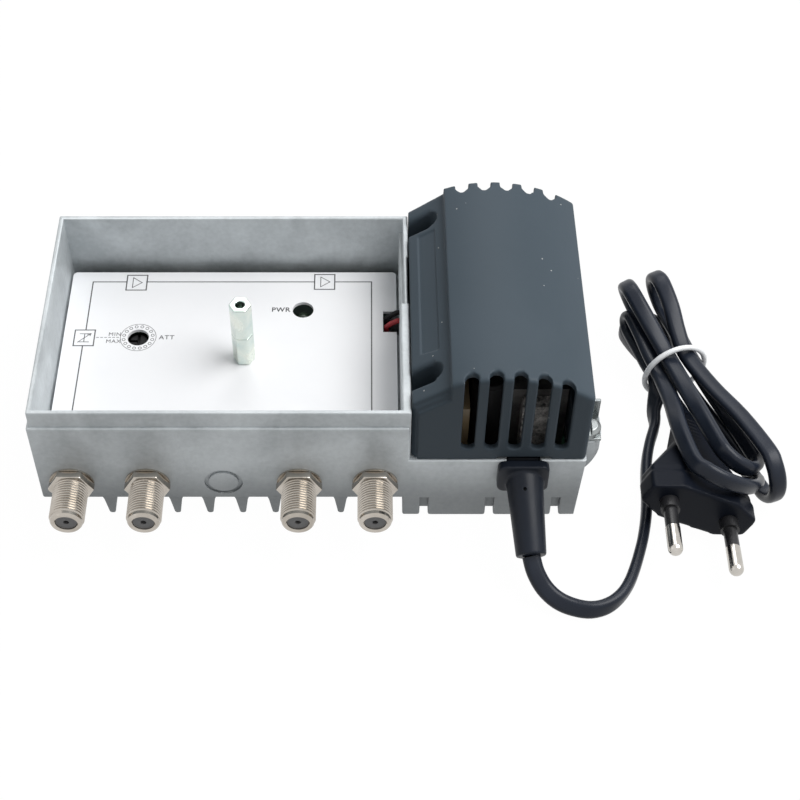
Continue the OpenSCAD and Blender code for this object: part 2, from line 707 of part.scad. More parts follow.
module attenuator_knob() color("dimgray") placed() translate([att_at[0], att_at[1], 0])
  difference() {
    union() {
      translate([0, 0, board_top + knob_foot + turn_fit])
        cylinder(h = case_size[2] - knob_foot - turn_fit, d = knob_d);
      translate([0, 0, board_top + case_size[2] - eps])
        cylinder(h = knob_top - board_top - case_size[2] + eps, d = knob_stem_d);
    }
    translate([-0.45, -knob_stem_d / 2 - 1, knob_top - 1]) cube([0.9, knob_stem_d + 2, 2]);
    translate([-knob_stem_d / 2, -0.45, knob_top - 1]) cube([knob_stem_d / 2, 0.9, 2]);
  }

module power_lamp() color("forestgreen") placed() translate([lamp_at[0], lamp_at[1], board_top]) {
  body = plate_z - plate_t - lamp_drop - board_top - lamp_d / 2;
  cylinder(h = 1, d = lamp_d + 0.8);
  cylinder(h = body, d = lamp_d);
  translate([0, 0, body]) intersection() {
    sphere(d = lamp_d);
    translate([0, 0, lamp_d / 2 - eps]) cube(lamp_d + 2 * eps, center = true);
  }
}

module supply_header() color("ivory") placed()
  translate([header_at[0], header_at[1] - header_size[1] / 2, board_top]) cube(header_size);

module supply_lead(y) {
  top = board_top + header_size[2];
  z = window_z + lead_gap + lead_d / 2;
  x = lead_x;
  end = box_w + lead_drop;
  points = [[x, y, top], [x, y, top + lead_d], [x + 0.7 * lead_d, y, z - lead_d],
            [x + 2 * lead_d, y, z - 0.1 * lead_d], [x + 4 * lead_d, y, z],
            [end - 2.8 * lead_d, y, z], [end - lead_d, y, z - 0.7 * lead_d],
            [end - 0.1 * lead_d, y, z - 2.7 * lead_d],
            [end, y, psu_top + 2 * lead_d], [end, y, psu_top]];
  tube(points, [0, 0, 1], [0, 0, -1], [0, 1, 0], round_section(lead_d));
}
module supply_lead_red() color("crimson") placed() supply_lead(header_at[1] - lead_half);
module supply_lead_black() color(black) placed() supply_lead(header_at[1] + lead_half);

module board_screws() color("silver") placed() {
  for (p = board_holes) screw([p[0], p[1], board_top], board_screw_d, board_screw_head,
                              board_top - floor_z + floor_t / 4);
  for (p = psu_holes) screw([p[0], p[1], psu_top], board_screw_d, board_screw_head, psu_screw_len);
}

// Power supply cover
module cover_section(inset) {
  left = box_w + cover_inset + inset;
  right = psu_r - cover_side - inset;
  slope = box_w + cover_inset + slope_w + inset;
  polygon([[left, base_h], [slope + eps, base_h], [slope + eps, slope_high - inset],
           [left, slope_low - inset]]);
  intersection() {
    translate([slope, base_h]) square([right - slope, cover_top]);
    translate([box_w + crown_at, cover_top - crown_r]) circle(crown_r - inset, $fn = 180);
  }
}

module cover_prism(inset, y0, y1) {
  translate([0, y1, 0]) rotate([90, 0, 0]) linear_extrude(y1 - y0) cover_section(inset);
}

module vent(x) {
  z = base_h + vent_rise + vent_w / 2;
  through = cover_inset + cover_wall + 1;
  intersection() {
    union() for (y = [0, box_d]) translate([x, y, z]) {
      rotate([90, 0, 0]) cylinder(h = 2 * through, d = vent_w, center = true);
      translate([-vent_w / 2, -through, 0]) cube([vent_w, 2 * through, cover_top]);
    }
    cover_prism(cover_wall, -5, box_d + 5);
  }
  translate([x, cover_inset + vent_reach - vent_w / 2, slope_low - 4]) {
    cylinder(h = cover_top, d = vent_w);
    translate([-vent_w / 2, -vent_reach, 0]) cube([vent_w, vent_reach, cover_top]);
  }
  translate([x, box_d - cover_inset - vent_back_reach + vent_w / 2, slope_low - 4]) {
    cylinder(h = cover_top, d = vent_w);
    translate([-vent_w / 2, 0, 0]) cube([vent_w, vent_back_reach, cover_top]);
  }
}

module relief_block(grow) {
  translate([lug_x - lug_r - relief - grow, lug_y - lug_r - relief - grow, base_h - grow])
    cube([lug_r + relief + 20, clamp_back - lug_y + lug_r + 2 * relief + 2 * grow, relief_h + 2 * grow]);
}

module psu_cover() color(slate) placed() difference() {
  union() {
    difference() {
      cover_prism(0, cover_inset, box_d - cover_inset);
      cover_prism(cover_wall, cover_inset + cover_wall, box_d - cover_inset - cover_wall);
      translate([0, cover_inset + cover_wall, 0])
        translate([box_w + cover_inset + cover_wall, 0, base_h - 1])
        cube([psu_w - cover_inset - cover_side - 2 * cover_wall,
              box_d - 2 * cover_inset - 2 * cover_wall, 2]);
    }
    intersection() {
      cover_prism(0, cover_inset, box_d - cover_inset);
      union() {
        for (p = pocket_at) translate([p[0], p[1], base_h])
          cylinder(h = cover_top, d = pocket_d + 2 * pocket_wall);
        relief_block(relief_wall);
      }
    }
  }
  for (p = pocket_at) translate([p[0], p[1], base_h + pocket_floor]) {
    cylinder(h = cover_top, d = pocket_d);
    translate([-pocket_d * 2, -pocket_d / 2, slope_low - base_h - pocket_floor - pocket_slot])
      cube([pocket_d * 2, pocket_d, cover_top]);
    translate([0, 0, -pocket_floor - 1]) cylinder(h = pocket_floor + 2, d = cover_screw_d + pass);
  }
  for (k = [0 : 4]) vent(box_w + vent_at + k * vent_pitch);
  relief_block(0);
  translate([gland_x - flange[0] / 2 - pass, -1, base_h - 1])
    cube([flange[0] + 2 * pass, cover_inset + cover_wall + inner_flange[2] + 2,
          gland_z + flange_rise + flange[1] / 2 + pass - base_h + 1]);
  translate([box_w, window_y[0], base_h - 1])
    cube([cover_inset + cover_wall + 1, window_y[1] - window_y[0], window_z + window_h - base_h + 1]);
  for (s = [[2 * step_w, 1], [step_w, 2]]) difference() {
    translate([box_w, cover_inset - 1, base_h - 1]) cube([slope_w + cover_inset, 1 + s[1] * step_d, 40]);
    translate([s[0], 0, -s[0] * step_slant]) cover_prism(0, -5, box_d);
  }
  translate([box_w + cover_inset + slope_w / 2, 17, (slope_low + slope_high) / 2 - 0.5])
    rotate([0, -atan2(slope_high - slope_low, slope_w), 0]) translate([-2.8, 0, 0])
    cube([5.6, 45, 4]);
}

module cover_screws() color("silver") placed() for (p = pocket_at)
  screw([p[0], p[1], base_h + pocket_floor], cover_screw_d, cover_screw_head, cover_screw_len);

// Power supply inside
module psu_board() color(circuit_green) placed() difference() {
  translate([psu_board_x, psu_board_y, psu_top - board_t])
    cube([psu_w - 2 * psu_board_in, box_d - 2 * psu_board_y, board_t]);
  for (p = psu_holes) translate([p[0], p[1], 0]) cylinder(h = box_h, d = board_screw_d + pass);
  for (p = pocket_at) translate([p[0], p[1], 0]) cylinder(h = box_h, r = base_boss_r + pass);
}

module transformer_core() color("slategray") placed() translate([core_at[0], core_at[1], psu_top])
  difference() {
    cube(core_size);
    for (x = [core_leg, core_size[0] - 2 * core_leg]) translate([x, -1, core_leg])
      cube([core_leg, core_size[1] + 2, core_size[2] - 2 * core_leg]);
  }

module transformer_winding() color("darkgoldenrod") placed()
  translate([core_at[0], core_at[1], psu_top]) difference() {
    translate([core_leg + fit, -winding_out, core_leg + fit])
      cube([core_size[0] - 2 * core_leg - 2 * fit, core_size[1] + 2 * winding_out,
            core_size[2] - 2 * core_leg - 2 * fit]);
    translate([2 * core_leg - fit, -fit, 0])
      cube([core_size[0] - 4 * core_leg + 2 * fit, core_size[1] + 2 * fit, core_size[2]]);
  }

module smoothing_capacitors() color(black) placed() {
  for (c = [[tall_can_at, tall_can_h], [short_can_at, short_can_h]])
    translate([box_w + c[0][0], c[0][1], psu_top]) {
      cylinder(h = c[1] - can_edge, r = can_r);
      translate([0, 0, c[1] - can_edge]) cylinder(h = can_edge, r1 = can_r, r2 = can_r - can_edge);
    }
}

module mains_capacitor() color("burlywood") placed()
  translate([box_w + film_at[0], film_at[1], psu_top]) cube(film_size);

module fuse() color("lightcyan") placed()
  along_y([box_w + fuse_in, fuse_y, psu_top + fuse_rise], fuse_len, fuse_r);

module fuse_clips() color("silver") placed()
  for (y = [fuse_y + clip_in, fuse_y + fuse_len - clip_in - clip_size[1]]) difference() {
    translate([box_w + fuse_in - clip_size[0] / 2, y, psu_top]) cube(clip_size);
    along_y([box_w + fuse_in, y - 1, psu_top + fuse_rise], clip_size[1] + 2, fuse_r + fit);
  }

module heat_sink() color("silver") placed()
  translate([box_w + sink_at[0], sink_at[1], psu_top]) cube(sink_size);

module regulator() color(black) placed()
  translate([box_w + sink_at[0] - regulator_size[0], regulator_y, psu_top]) cube(regulator_size);

// Earth terminal
module earth_clamp() color(zinc) placed() difference() {
  union() {
    translate([lug_x - clamp_side / 2, lug_y - clamp_side / 2, base_h])
      cube([clamp_side, clamp_back - lug_y + clamp_side / 2, clamp_t]);
    translate([lug_x - clamp_side / 2, clamp_back - clamp_t, base_h])
      cube([clamp_side, clamp_t, clamp_tab_h]);
  }
  translate([lug_x, lug_y, base_h - 1]) cylinder(h = clamp_t + 2, d = earth_d + 2 * fit);
}

module earth_screw() color(zinc) placed() difference() {
  screw([lug_x, lug_y, base_h + clamp_t], earth_d, [earth_head_d, earth_head_h], earth_len);
  translate([lug_x - 0.5, lug_y - earth_head_d, base_h + clamp_t + earth_head_h - 1])
    cube([1, 2 * earth_head_d, 2]);
}

// Mains lead
module strain_relief() color(navy) placed() {
  translate([gland_x, eps, gland_z + flange_rise]) rotate([90, 0, 0])
    linear_extrude(flange[2] + eps) rounded(flange[0], flange[1], 2);
  translate([gland_x - neck[0] / 2, 0, gland_z - neck[1] / 2]) cube([neck[0], base_wall + eps, neck[1]]);
  translate([gland_x, base_wall + inner_flange[2], gland_z]) rotate([90, 0, 0])
    linear_extrude(inner_flange[2]) rounded(inner_flange[0], inner_flange[1], 2);
  translate(sleeve_root) rotate([0, 0, sleeve_swing]) rotate([90 + sleeve_tilt, 0, 0]) {
    cylinder(h = sleeve_len, d1 = sleeve_d, d2 = sleeve_end_d);
    translate([0, 0, -2]) cylinder(h = 2 + eps, d = sleeve_d);
  }
}

module inner_mains_leads() color("sienna") placed() for (x = [-1.8, 1.8]) {
  y = base_wall + inner_flange[2];
  points = [[gland_x + x, y, gland_z + 1], [gland_x + x, y + 1.2, gland_z + 1],
            [gland_x + x, y + 2.6, gland_z], [gland_x + x, y + 3.2, psu_top + 0.8],
            [gland_x + x, y + 3.2, psu_top]];
  tube(points, [0, 1, 0], [0, 0, -1], [1, 0, 0], round_section(1.6));
}

module mains_lead() color(navy) placed() {
  skin([for (i = [0 : len(lead_points) - 1])
    ring_at(lead_points[i], lead_headings[i], lead_wide[i], eight_sides)]);
}

module mains_hank() color(navy) placed() {
  echo(least_gap_of_the_hank = hank_gap());
  skin([for (i = [0 : len(hank_points) - 1])
    ring_at(hank_points[i], hank_headings[i], hank_wide[i], six_sides)]);
}

module cord_tie() color("white") placed() translate([hank_at[0], hank_at[1], tie_z])
  rotate([0, 0, hank_turn]) rotate([90, 0, 0])
  rotate_extrude() translate([tie_r + tie_d / 2, 0]) circle(d = tie_d);

module plug_placed() {
  translate(plug_at) rotate([0, 0, plug_yaw]) rotate([plug_pitch, 0, 0]) rotate([0, plug_roll, 0])
    children();
}

module plug_slab(w, t, flat, y, h) {
  hull() for (p = [[w / 2 - 1, t * 0.2], [flat / 2, t / 2 - 1]]) for (sx = [-1, 1]) for (sz = [-1, 1])
    along_y([sx * p[0], y, sz * p[1]], h, 1, $fn = 24);
}

module plug_body() color(navy) placed() plug_placed() difference() {
  union() {
    plug_slab(plug_w, plug_t, 17, 0, 6);
    hull() {
      plug_slab(plug_w - 1, plug_t - 0.6, 16, 5.5, 3);
      plug_slab(13, 10.5, 8, 21, 1);
    }
    hull() {
      plug_slab(13, 10.5, 8, 21, 1);
      plug_slab(7.4, 5.6, 3.4, plug_len - 1, 1);
    }
  }
  for (x = [-1, 1]) along_y([x * pin_pitch / 2, -1, 0], 7, pin_d / 2 - 0.5 + fit);
}

module plug_pins() color(nickel) placed() plug_placed() for (x = [-1, 1]) {
  along_y([x * pin_pitch / 2, -pin_len, 0], 1, pin_d / 2 - 0.9, pin_d / 2);
  along_y([x * pin_pitch / 2, -pin_len + 1, 0], pin_bare - 1, pin_d / 2);
  along_y([x * pin_pitch / 2, -pin_len + pin_bare - eps, 0], pin_len - pin_bare + 5, pin_d / 2 - 0.5);
}

module pin_sleeves() color(black) placed() plug_placed() for (x = [-1, 1]) difference() {
  union() {
    along_y([x * pin_pitch / 2, -pin_len + pin_bare, 0], pin_len - pin_bare, pin_d / 2 - 0.1);
    along_y([x * pin_pitch / 2, -3.4, 0], 3.4, pin_d / 2 + 0.6);
  }
  along_y([x * pin_pitch / 2, -pin_len, 0], pin_len + 1, pin_d / 2 - 0.5 + fit);
}

housing();
face_plate();
lower_spacer();
upper_spacer();
coax_socket_1();
coax_socket_2();
coax_socket_3();
coax_socket_4();
lock_washers();
socket_insulators();
socket_contacts();
amplifier_board();
amplifier_modules();
filter_cans();
attenuator_case();
attenuator_knob();
power_lamp();
supply_header();
supply_lead_red();
supply_lead_black();
board_screws();
psu_cover();
cover_screws();
psu_board();
transformer_core();
transformer_winding();
smoothing_capacitors();
mains_capacitor();
fuse();
fuse_clips();
heat_sink();
regulator();
earth_clamp();
earth_screw();
strain_relief();
inner_mains_leads();
mains_lead();
mains_hank();
cord_tie();
plug_body();
plug_pins();
pin_sleeves();
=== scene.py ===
import bpy
import math
import numpy as np
from mathutils import Matrix, Vector


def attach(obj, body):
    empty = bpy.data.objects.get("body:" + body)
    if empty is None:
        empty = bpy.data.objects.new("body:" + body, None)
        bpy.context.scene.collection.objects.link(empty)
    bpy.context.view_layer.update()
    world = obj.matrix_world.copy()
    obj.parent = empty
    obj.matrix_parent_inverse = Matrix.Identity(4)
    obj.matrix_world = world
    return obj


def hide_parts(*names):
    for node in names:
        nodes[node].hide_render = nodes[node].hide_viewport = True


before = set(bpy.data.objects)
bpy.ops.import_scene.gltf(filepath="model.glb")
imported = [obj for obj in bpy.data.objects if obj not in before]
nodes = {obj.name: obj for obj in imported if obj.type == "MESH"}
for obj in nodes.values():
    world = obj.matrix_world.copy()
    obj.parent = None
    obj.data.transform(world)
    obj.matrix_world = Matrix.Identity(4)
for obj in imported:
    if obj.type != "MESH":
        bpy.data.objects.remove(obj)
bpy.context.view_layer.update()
mm = 0.001
weld = 2e-6  # metres: nearer points become one
midX = 76.4  # the drawing counts from the box's front left corner, the frame from its middle
midY = 30.5


def at(x, y, z):
    return Vector(((x - midX) * mm, (y - midY) * mm, z * mm))


# camera, where the photograph was taken
viewPoint = {"spot": (89.7, -261.5, 365.2), "tilt": 39.71, "film": 36, "lens": 72.18, "shift": 0.039}
bpy.ops.object.camera_add(location=at(*viewPoint["spot"]),
                          rotation=(math.radians(viewPoint["tilt"]), 0, 0))
viewCamera = bpy.context.object
viewCamera.data.sensor_width = viewPoint["film"]
viewCamera.data.lens = viewPoint["lens"]
viewCamera.data.shift_x = viewPoint["shift"]
viewCamera.data.clip_start = 0.01
bpy.context.scene.camera = viewCamera
bpy.context.scene.view_settings.view_transform = "Standard"
print("camera set")


# working habits: one object picked at a time, modifiers applied at once
def pick(piece):
    bpy.ops.object.select_all(action="DESELECT")
    piece.select_set(True)
    bpy.context.view_layer.objects.active = piece


def openMesh(piece):
    pick(piece)
    bpy.ops.object.mode_set(mode="EDIT")
    bpy.ops.mesh.select_all(action="SELECT")


def closeMesh():
    bpy.ops.object.mode_set(mode="OBJECT")


def useModifier(piece, kind, **settings):
    mod = piece.modifiers.new(kind.lower(), kind)
    for key, value in settings.items():
        setattr(mod, key, value)
    pick(piece)
    bpy.ops.object.modifier_apply(modifier=mod.name)


def settle(piece):
    pick(piece)
    bpy.ops.object.transform_apply(location=True, rotation=True, scale=True)


def joinAll(pieces, name):
    bpy.ops.object.select_all(action="DESELECT")
    for piece in pieces:
        piece.select_set(True)
    bpy.context.view_layer.objects.active = pieces[0]
    bpy.ops.object.join()
    pieces[0].name = name
    return pieces[0]


def fresh(name):
    bpy.context.object.name = name
    return bpy.context.object


def smoothBy(piece, angle):
    pick(piece)
    bpy.ops.object.shade_smooth_by_angle(angle=math.radians(angle))


def outward(piece):
    openMesh(piece)
    bpy.ops.mesh.normals_make_consistent(inside=False)
    closeMesh()


edgeRules = {"arc": (0.87, 0.9986), "overlap": 0.45, "alike": 0.7, "room": 0.42, "open": 1.0, "steps": 3,
             "flatShare": 80, "flat": 0.6}


# each edge is rounded as far as its neighbours leave room, and main ones fully;
# plain means straight outer edges only, since arcs and hollows would fold a casting's flats
def softenEdges(piece, width, angle=35, common=1.0, isMain=None, plain=False, leave=None):
    mesh = piece.data
    beside, inward = {}, {}
    for face in mesh.polygons:
        ring = list(face.vertices)
        for a, b in zip(ring, ring[1:] + ring[:1]):
            key = (min(a, b), max(a, b))
            way = mesh.vertices[b].co - mesh.vertices[a].co
            beside.setdefault(key, []).append(face.normal)
            inward.setdefault(key, []).append(face.normal.cross(way))
    sharp = []
    for edge in mesh.edges:
        sides = beside.get(edge.key, [])
        if len(sides) == 2 and sides[0].angle(sides[1], 0) > math.radians(angle):
            if not plain or sides[1].dot(inward[edge.key][0]) < 0:
                sharp.append(edge.index)
    ends = np.array([[mesh.vertices[v].co[:] for v in mesh.edges[k].vertices] for k in sharp])
    middles, ways = ends.mean(axis=1), ends[:, 1] - ends[:, 0]
    lengths = np.linalg.norm(ways, axis=1)
    ways = ways / lengths[:, None]
    meeting = {}
    for i, k in enumerate(sharp):
        for v in mesh.edges[k].vertices:
            meeting.setdefault(v, []).append(i)
    weights = mesh.attributes.new("bevel_weight_edge", "FLOAT", "EDGE")
    bent, straight = edgeRules["arc"]
    for i, k in enumerate(sharp):
        turns = [abs(ways[i] @ ways[j]) for v in mesh.edges[k].vertices for j in meeting[v]]
        if plain and any(bent < t < straight for t in turns) or leave and leave(*middles[i]):
            continue
        apart = middles - middles[i]
        along = apart @ ways[i]
        across = np.linalg.norm(apart - along[:, None] * ways[i], axis=1)
        near = np.abs(along) < edgeRules["overlap"] * (lengths + lengths[i])
        near &= np.abs(ways @ ways[i]) > edgeRules["alike"]
        near[i] = False
        room = across[near].min() if near.any() else edgeRules["open"]
        main = isMain and isMain(Vector(middles[i]), beside[mesh.edges[k].key])
        weights.data[k].value = min(1.0 if main else common, edgeRules["room"] * room / width)
    useModifier(piece, "BEVEL", width=width, segments=edgeRules["steps"], limit_method="WEIGHT",
                use_clamp_overlap=False, miter_outer="MITER_ARC")
    smoothBy(piece, angle)
    useModifier(piece, "WEIGHTED_NORMAL", keep_sharp=True, weight=edgeRules["flatShare"])


def mouldRound(piece, grain, passes):  # a moulded rubber look: every edge melts a little
    useModifier(piece, "REMESH", mode="VOXEL", voxel_size=grain * mm)
    useModifier(piece, "SMOOTH", factor=0.5, iterations=passes)
    openMesh(piece)
    bpy.ops.mesh.normals_make_consistent(inside=False)
    bpy.ops.mesh.faces_shade_smooth()
    closeMesh()


def copyOf(nodeName, name):
    source = nodes[nodeName]
    piece = bpy.data.objects.new(name, source.data.copy())
    bpy.context.scene.collection.objects.link(piece)
    piece.data.materials.clear()
    openMesh(piece)
    bpy.ops.mesh.remove_doubles(threshold=weld)
    bpy.ops.mesh.dissolve_limited(angle_limit=math.radians(edgeRules["flat"]))
    closeMesh()
    return piece


def turned(profile, sides, name):  # a lathe: a circle pushed and scaled along Z, closed on itself
    radius, height = profile[0]
    bpy.ops.object.select_all(action="DESELECT")
    bpy.ops.mesh.primitive_circle_add(vertices=sides, radius=radius * mm, fill_type="NOTHING",
                                      location=(0, 0, 0))
    piece = fresh(name)
    openMesh(piece)
    bpy.ops.transform.translate(value=(0, 0, height * mm))
    for nextRadius, nextHeight in profile[1:]:
        bpy.ops.mesh.extrude_region_move(
            TRANSFORM_OT_translate={"value": (0, 0, (nextHeight - height) * mm)})
        grow = nextRadius / radius
        bpy.ops.transform.resize(value=(grow, grow, 1), center_override=(0, 0, nextHeight * mm))
        radius, height = nextRadius, nextHeight
    bpy.ops.mesh.select_all(action="SELECT")
    bpy.ops.mesh.remove_doubles(threshold=weld)
    bpy.ops.mesh.normals_make_consistent(inside=False)
    closeMesh()
    return piece


def block(size, centre, bevel, name):
    bpy.ops.object.select_all(action="DESELECT")
    bpy.ops.mesh.primitive_cube_add(size=1, location=centre)
    piece = fresh(name)
    piece.scale = [s * mm for s in size]
    settle(piece)
    openMesh(piece)
    bpy.ops.mesh.bevel(offset=bevel * mm, segments=2, affect="EDGES")
    closeMesh()
    return piece


# shared shader groups
def newGroup(name, inputs, outputs):
    group = bpy.data.node_groups.new(name, "ShaderNodeTree")
    for label, kind, value in inputs:
        socket = group.interface.new_socket(label, in_out="INPUT", socket_type=kind)
        if value is not None:
            socket.default_value = value
    for label, kind in outputs:
        group.interface.new_socket(label, in_out="OUTPUT", socket_type=kind)
    return group, group.nodes.new("NodeGroupInput"), group.nodes.new("NodeGroupOutput")


def cloudGroup():  # soft patches of two tones, with a finer speckle over them
    group, given, result = newGroup("cloudyTone", [
        ("Vector", "NodeSocketVector", None), ("Tone A", "NodeSocketColor", (0.3, 0.3, 0.3, 1)),
        ("Tone B", "NodeSocketColor", (0.5, 0.5, 0.5, 1)), ("Patch Scale", "NodeSocketFloat", 60.0),
        ("Speckle Scale", "NodeSocketFloat", 600.0), ("Speckle", "NodeSocketFloat", 0.25)],
        [("Color", "NodeSocketColor"), ("Mask", "NodeSocketFloat")])
    put, wire = group.nodes.new, group.links.new
    patch = put("ShaderNodeTexNoise")
    patch.inputs["Detail"].default_value = 5
    patch.inputs["Distortion"].default_value = 0.6
    speckle = put("ShaderNodeTexNoise")
    speckle.inputs["Detail"].default_value = 3
    spread = put("ShaderNodeMapRange")
    spread.inputs["From Min"].default_value = 0.3
    spread.inputs["From Max"].default_value = 0.7
    centred = put("ShaderNodeMath")
    centred.operation = "SUBTRACT"
    centred.inputs[1].default_value = 0.5
    scaled = put("ShaderNodeMath")
    scaled.operation = "MULTIPLY"
    total = put("ShaderNodeMath")
    total.use_clamp = True
    blend = put("ShaderNodeMix")
    blend.data_type = "RGBA"
    wire(given.outputs["Vector"], patch.inputs["Vector"])
    wire(given.outputs["Patch Scale"], patch.inputs["Scale"])
    wire(given.outputs["Vector"], speckle.inputs["Vector"])
    wire(given.outputs["Speckle Scale"], speckle.inputs["Scale"])
    wire(patch.outputs["Fac"], spread.inputs["Value"])
    wire(speckle.outputs["Fac"], centred.inputs[0])
    wire(centred.outputs[0], scaled.inputs[0])
    wire(given.outputs["Speckle"], scaled.inputs[1])
    wire(spread.outputs["Result"], total.inputs[0])
    wire(scaled.outputs[0], total.inputs[1])
    wire(total.outputs[0], blend.inputs["Factor"])
    wire(given.outputs["Tone A"], blend.inputs["A"])
    wire(given.outputs["Tone B"], blend.inputs["B"])
    wire(blend.outputs["Result"], result.inputs["Color"])
    wire(total.outputs[0], result.inputs["Mask"])
    return group


def grainGroup():  # height of a fine moulded or cast skin
    group, given, result = newGroup("fineGrain", [
        ("Vector", "NodeSocketVector", None), ("Fine Scale", "NodeSocketFloat", 1800.0),
        ("Broad Scale", "NodeSocketFloat", 200.0), ("Broad Share", "NodeSocketFloat", 0.3)],
        [("Height", "NodeSocketFloat")])
    put, wire = group.nodes.new, group.links.new
    fine = put("ShaderNodeTexNoise")
    fine.inputs["Detail"].default_value = 2
    broad = put("ShaderNodeTexNoise")
    broad.inputs["Detail"].default_value = 4
    blend = put("ShaderNodeMix")
    wire(given.outputs["Vector"], fine.inputs["Vector"])
    wire(given.outputs["Fine Scale"], fine.inputs["Scale"])
    wire(given.outputs["Vector"], broad.inputs["Vector"])
    wire(given.outputs["Broad Scale"], broad.inputs["Scale"])
    wire(given.outputs["Broad Share"], blend.inputs["Factor"])
    wire(fine.outputs["Fac"], blend.inputs["A"])
    wire(broad.outputs["Fac"], blend.inputs["B"])
    wire(blend.outputs["Result"], result.inputs["Height"])
    return group


def dustGroup():  # sparse pale specks
    group, given, result = newGroup("dustSpecks", [
        ("Vector", "NodeSocketVector", None), ("Scale", "NodeSocketFloat", 120.0),
        ("Size", "NodeSocketFloat", 0.08), ("Share", "NodeSocketFloat", 0.12),
        ("Color", "NodeSocketColor", (0.1, 0.1, 0.1, 1)),
        ("Dust", "NodeSocketColor", (0.45, 0.46, 0.46, 1))], [("Color", "NodeSocketColor")])
    put, wire = group.nodes.new, group.links.new
    cells = put("ShaderNodeTexVoronoi")
    near = put("ShaderNodeMath")
    near.operation = "LESS_THAN"
    tint = put("ShaderNodeSeparateColor")
    few = put("ShaderNodeMath")
    few.operation = "LESS_THAN"
    both = put("ShaderNodeMath")
    both.operation = "MULTIPLY"
    blend = put("ShaderNodeMix")
    blend.data_type = "RGBA"
    wire(given.outputs["Vector"], cells.inputs["Vector"])
    wire(given.outputs["Scale"], cells.inputs["Scale"])
    wire(cells.outputs["Distance"], near.inputs[0])
    wire(given.outputs["Size"], near.inputs[1])
    wire(cells.outputs["Color"], tint.inputs["Color"])
    wire(tint.outputs["Red"], few.inputs[0])
    wire(given.outputs["Share"], few.inputs[1])
    wire(near.outputs[0], both.inputs[0])
    wire(few.outputs[0], both.inputs[1])
    wire(both.outputs[0], blend.inputs["Factor"])
    wire(given.outputs["Color"], blend.inputs["A"])
    wire(given.outputs["Dust"], blend.inputs["B"])
    wire(blend.outputs["Result"], result.inputs["Color"])
    return group


def paintedFootShadeGroup():  # painted shade: a tone that darkens towards the foot of the casting, standing in for the shadow near the floor
    group, given, result = newGroup("paintedFootShade", [
        ("Vector", "NodeSocketVector", None), ("Color", "NodeSocketColor", (0.5, 0.5, 0.5, 1)),
        ("Low", "NodeSocketFloat", 0.006), ("High", "NodeSocketFloat", 0.026),
        ("Share", "NodeSocketFloat", 0.75)], [("Color", "NodeSocketColor")])
    put, wire = group.nodes.new, group.links.new
    split = put("ShaderNodeSeparateXYZ")
    rise = put("ShaderNodeMapRange")
    rise.interpolation_type = "SMOOTHSTEP"
    dim = put("ShaderNodeMix")
    dim.data_type = "RGBA"
    dim.blend_type = "MULTIPLY"
    dim.inputs["Factor"].default_value = 1.0
    wire(given.outputs["Vector"], split.inputs[0])
    wire(split.outputs["Z"], rise.inputs["Value"])
    wire(given.outputs["Low"], rise.inputs["From Min"])
    wire(given.outputs["High"], rise.inputs["From Max"])
    wire(given.outputs["Share"], rise.inputs["To Min"])
    wire(given.outputs["Color"], dim.inputs["A"])
    wire(rise.outputs["Result"], dim.inputs["B"])
    wire(dim.outputs["Result"], result.inputs["Color"])
    return group


cloudyTone = cloudGroup()
paintedFootShade = paintedFootShadeGroup()
fineGrain = grainGroup()
dustSpecks = dustGroup()


reliefDeep = 0.0002


def finish(name, toneA, toneB, rough, metal=0.0, patch=60, speckle=600, speckleShare=0.25, bump=0.0,
           fineScale=1800, broadScale=200, dust=0.0, dustScale=120, foot=0.0, more=None):
    made = bpy.data.materials.new(name)
    made.use_nodes = True
    put, wire = made.node_tree.nodes.new, made.node_tree.links.new
    surface = made.node_tree.nodes["Principled BSDF"]
    surface.inputs["Metallic"].default_value = metal
    for key, value in (more or {}).items():
        surface.inputs[key].default_value = value
    place = put("ShaderNodeTexCoord")
    tone = put("ShaderNodeGroup")
    tone.node_tree = cloudyTone
    tone.inputs["Tone A"].default_value = (*toneA, 1)
    tone.inputs["Tone B"].default_value = (*toneB, 1)
    tone.inputs["Patch Scale"].default_value = patch
    tone.inputs["Speckle Scale"].default_value = speckle
    tone.inputs["Speckle"].default_value = speckleShare
    wire(place.outputs["Object"], tone.inputs["Vector"])
    colour = tone.outputs["Color"]
    if dust:
        specks = put("ShaderNodeGroup")
        specks.node_tree = dustSpecks
        specks.inputs["Scale"].default_value = dustScale
        specks.inputs["Share"].default_value = dust
        wire(place.outputs["Object"], specks.inputs["Vector"])
        wire(colour, specks.inputs["Color"])
        colour = specks.outputs["Color"]
    # painted shade: the tone darkens towards the foot, standing in for the shadow near the floor
    if foot:
        footShadeNode = put("ShaderNodeGroup")
        footShadeNode.node_tree = paintedFootShade
        footShadeNode.inputs["Share"].default_value = foot
        wire(place.outputs["Object"], footShadeNode.inputs["Vector"])
        wire(colour, footShadeNode.inputs["Color"])
        colour = footShadeNode.outputs["Color"]
    wire(colour, surface.inputs["Base Color"])
    span = put("ShaderNodeMapRange")
    span.inputs["To Min"].default_value = rough[0]
    span.inputs["To Max"].default_value = rough[1]
    wire(tone.outputs["Mask"], span.inputs["Value"])
    wire(span.outputs["Result"], surface.inputs["Roughness"])
    if bump:
        grain = put("ShaderNodeGroup")
        grain.node_tree = fineGrain
        grain.inputs["Fine Scale"].default_value = fineScale
        grain.inputs["Broad Scale"].default_value = broadScale
        relief = put("ShaderNodeBump")
        relief.inputs["Strength"].default_value = bump
        relief.inputs["Distance"].default_value = reliefDeep
        wire(place.outputs["Object"], grain.inputs["Vector"])
        wire(grain.outputs["Height"], relief.inputs["Height"])
        wire(relief.outputs["Normal"], surface.inputs["Normal"])
    return made
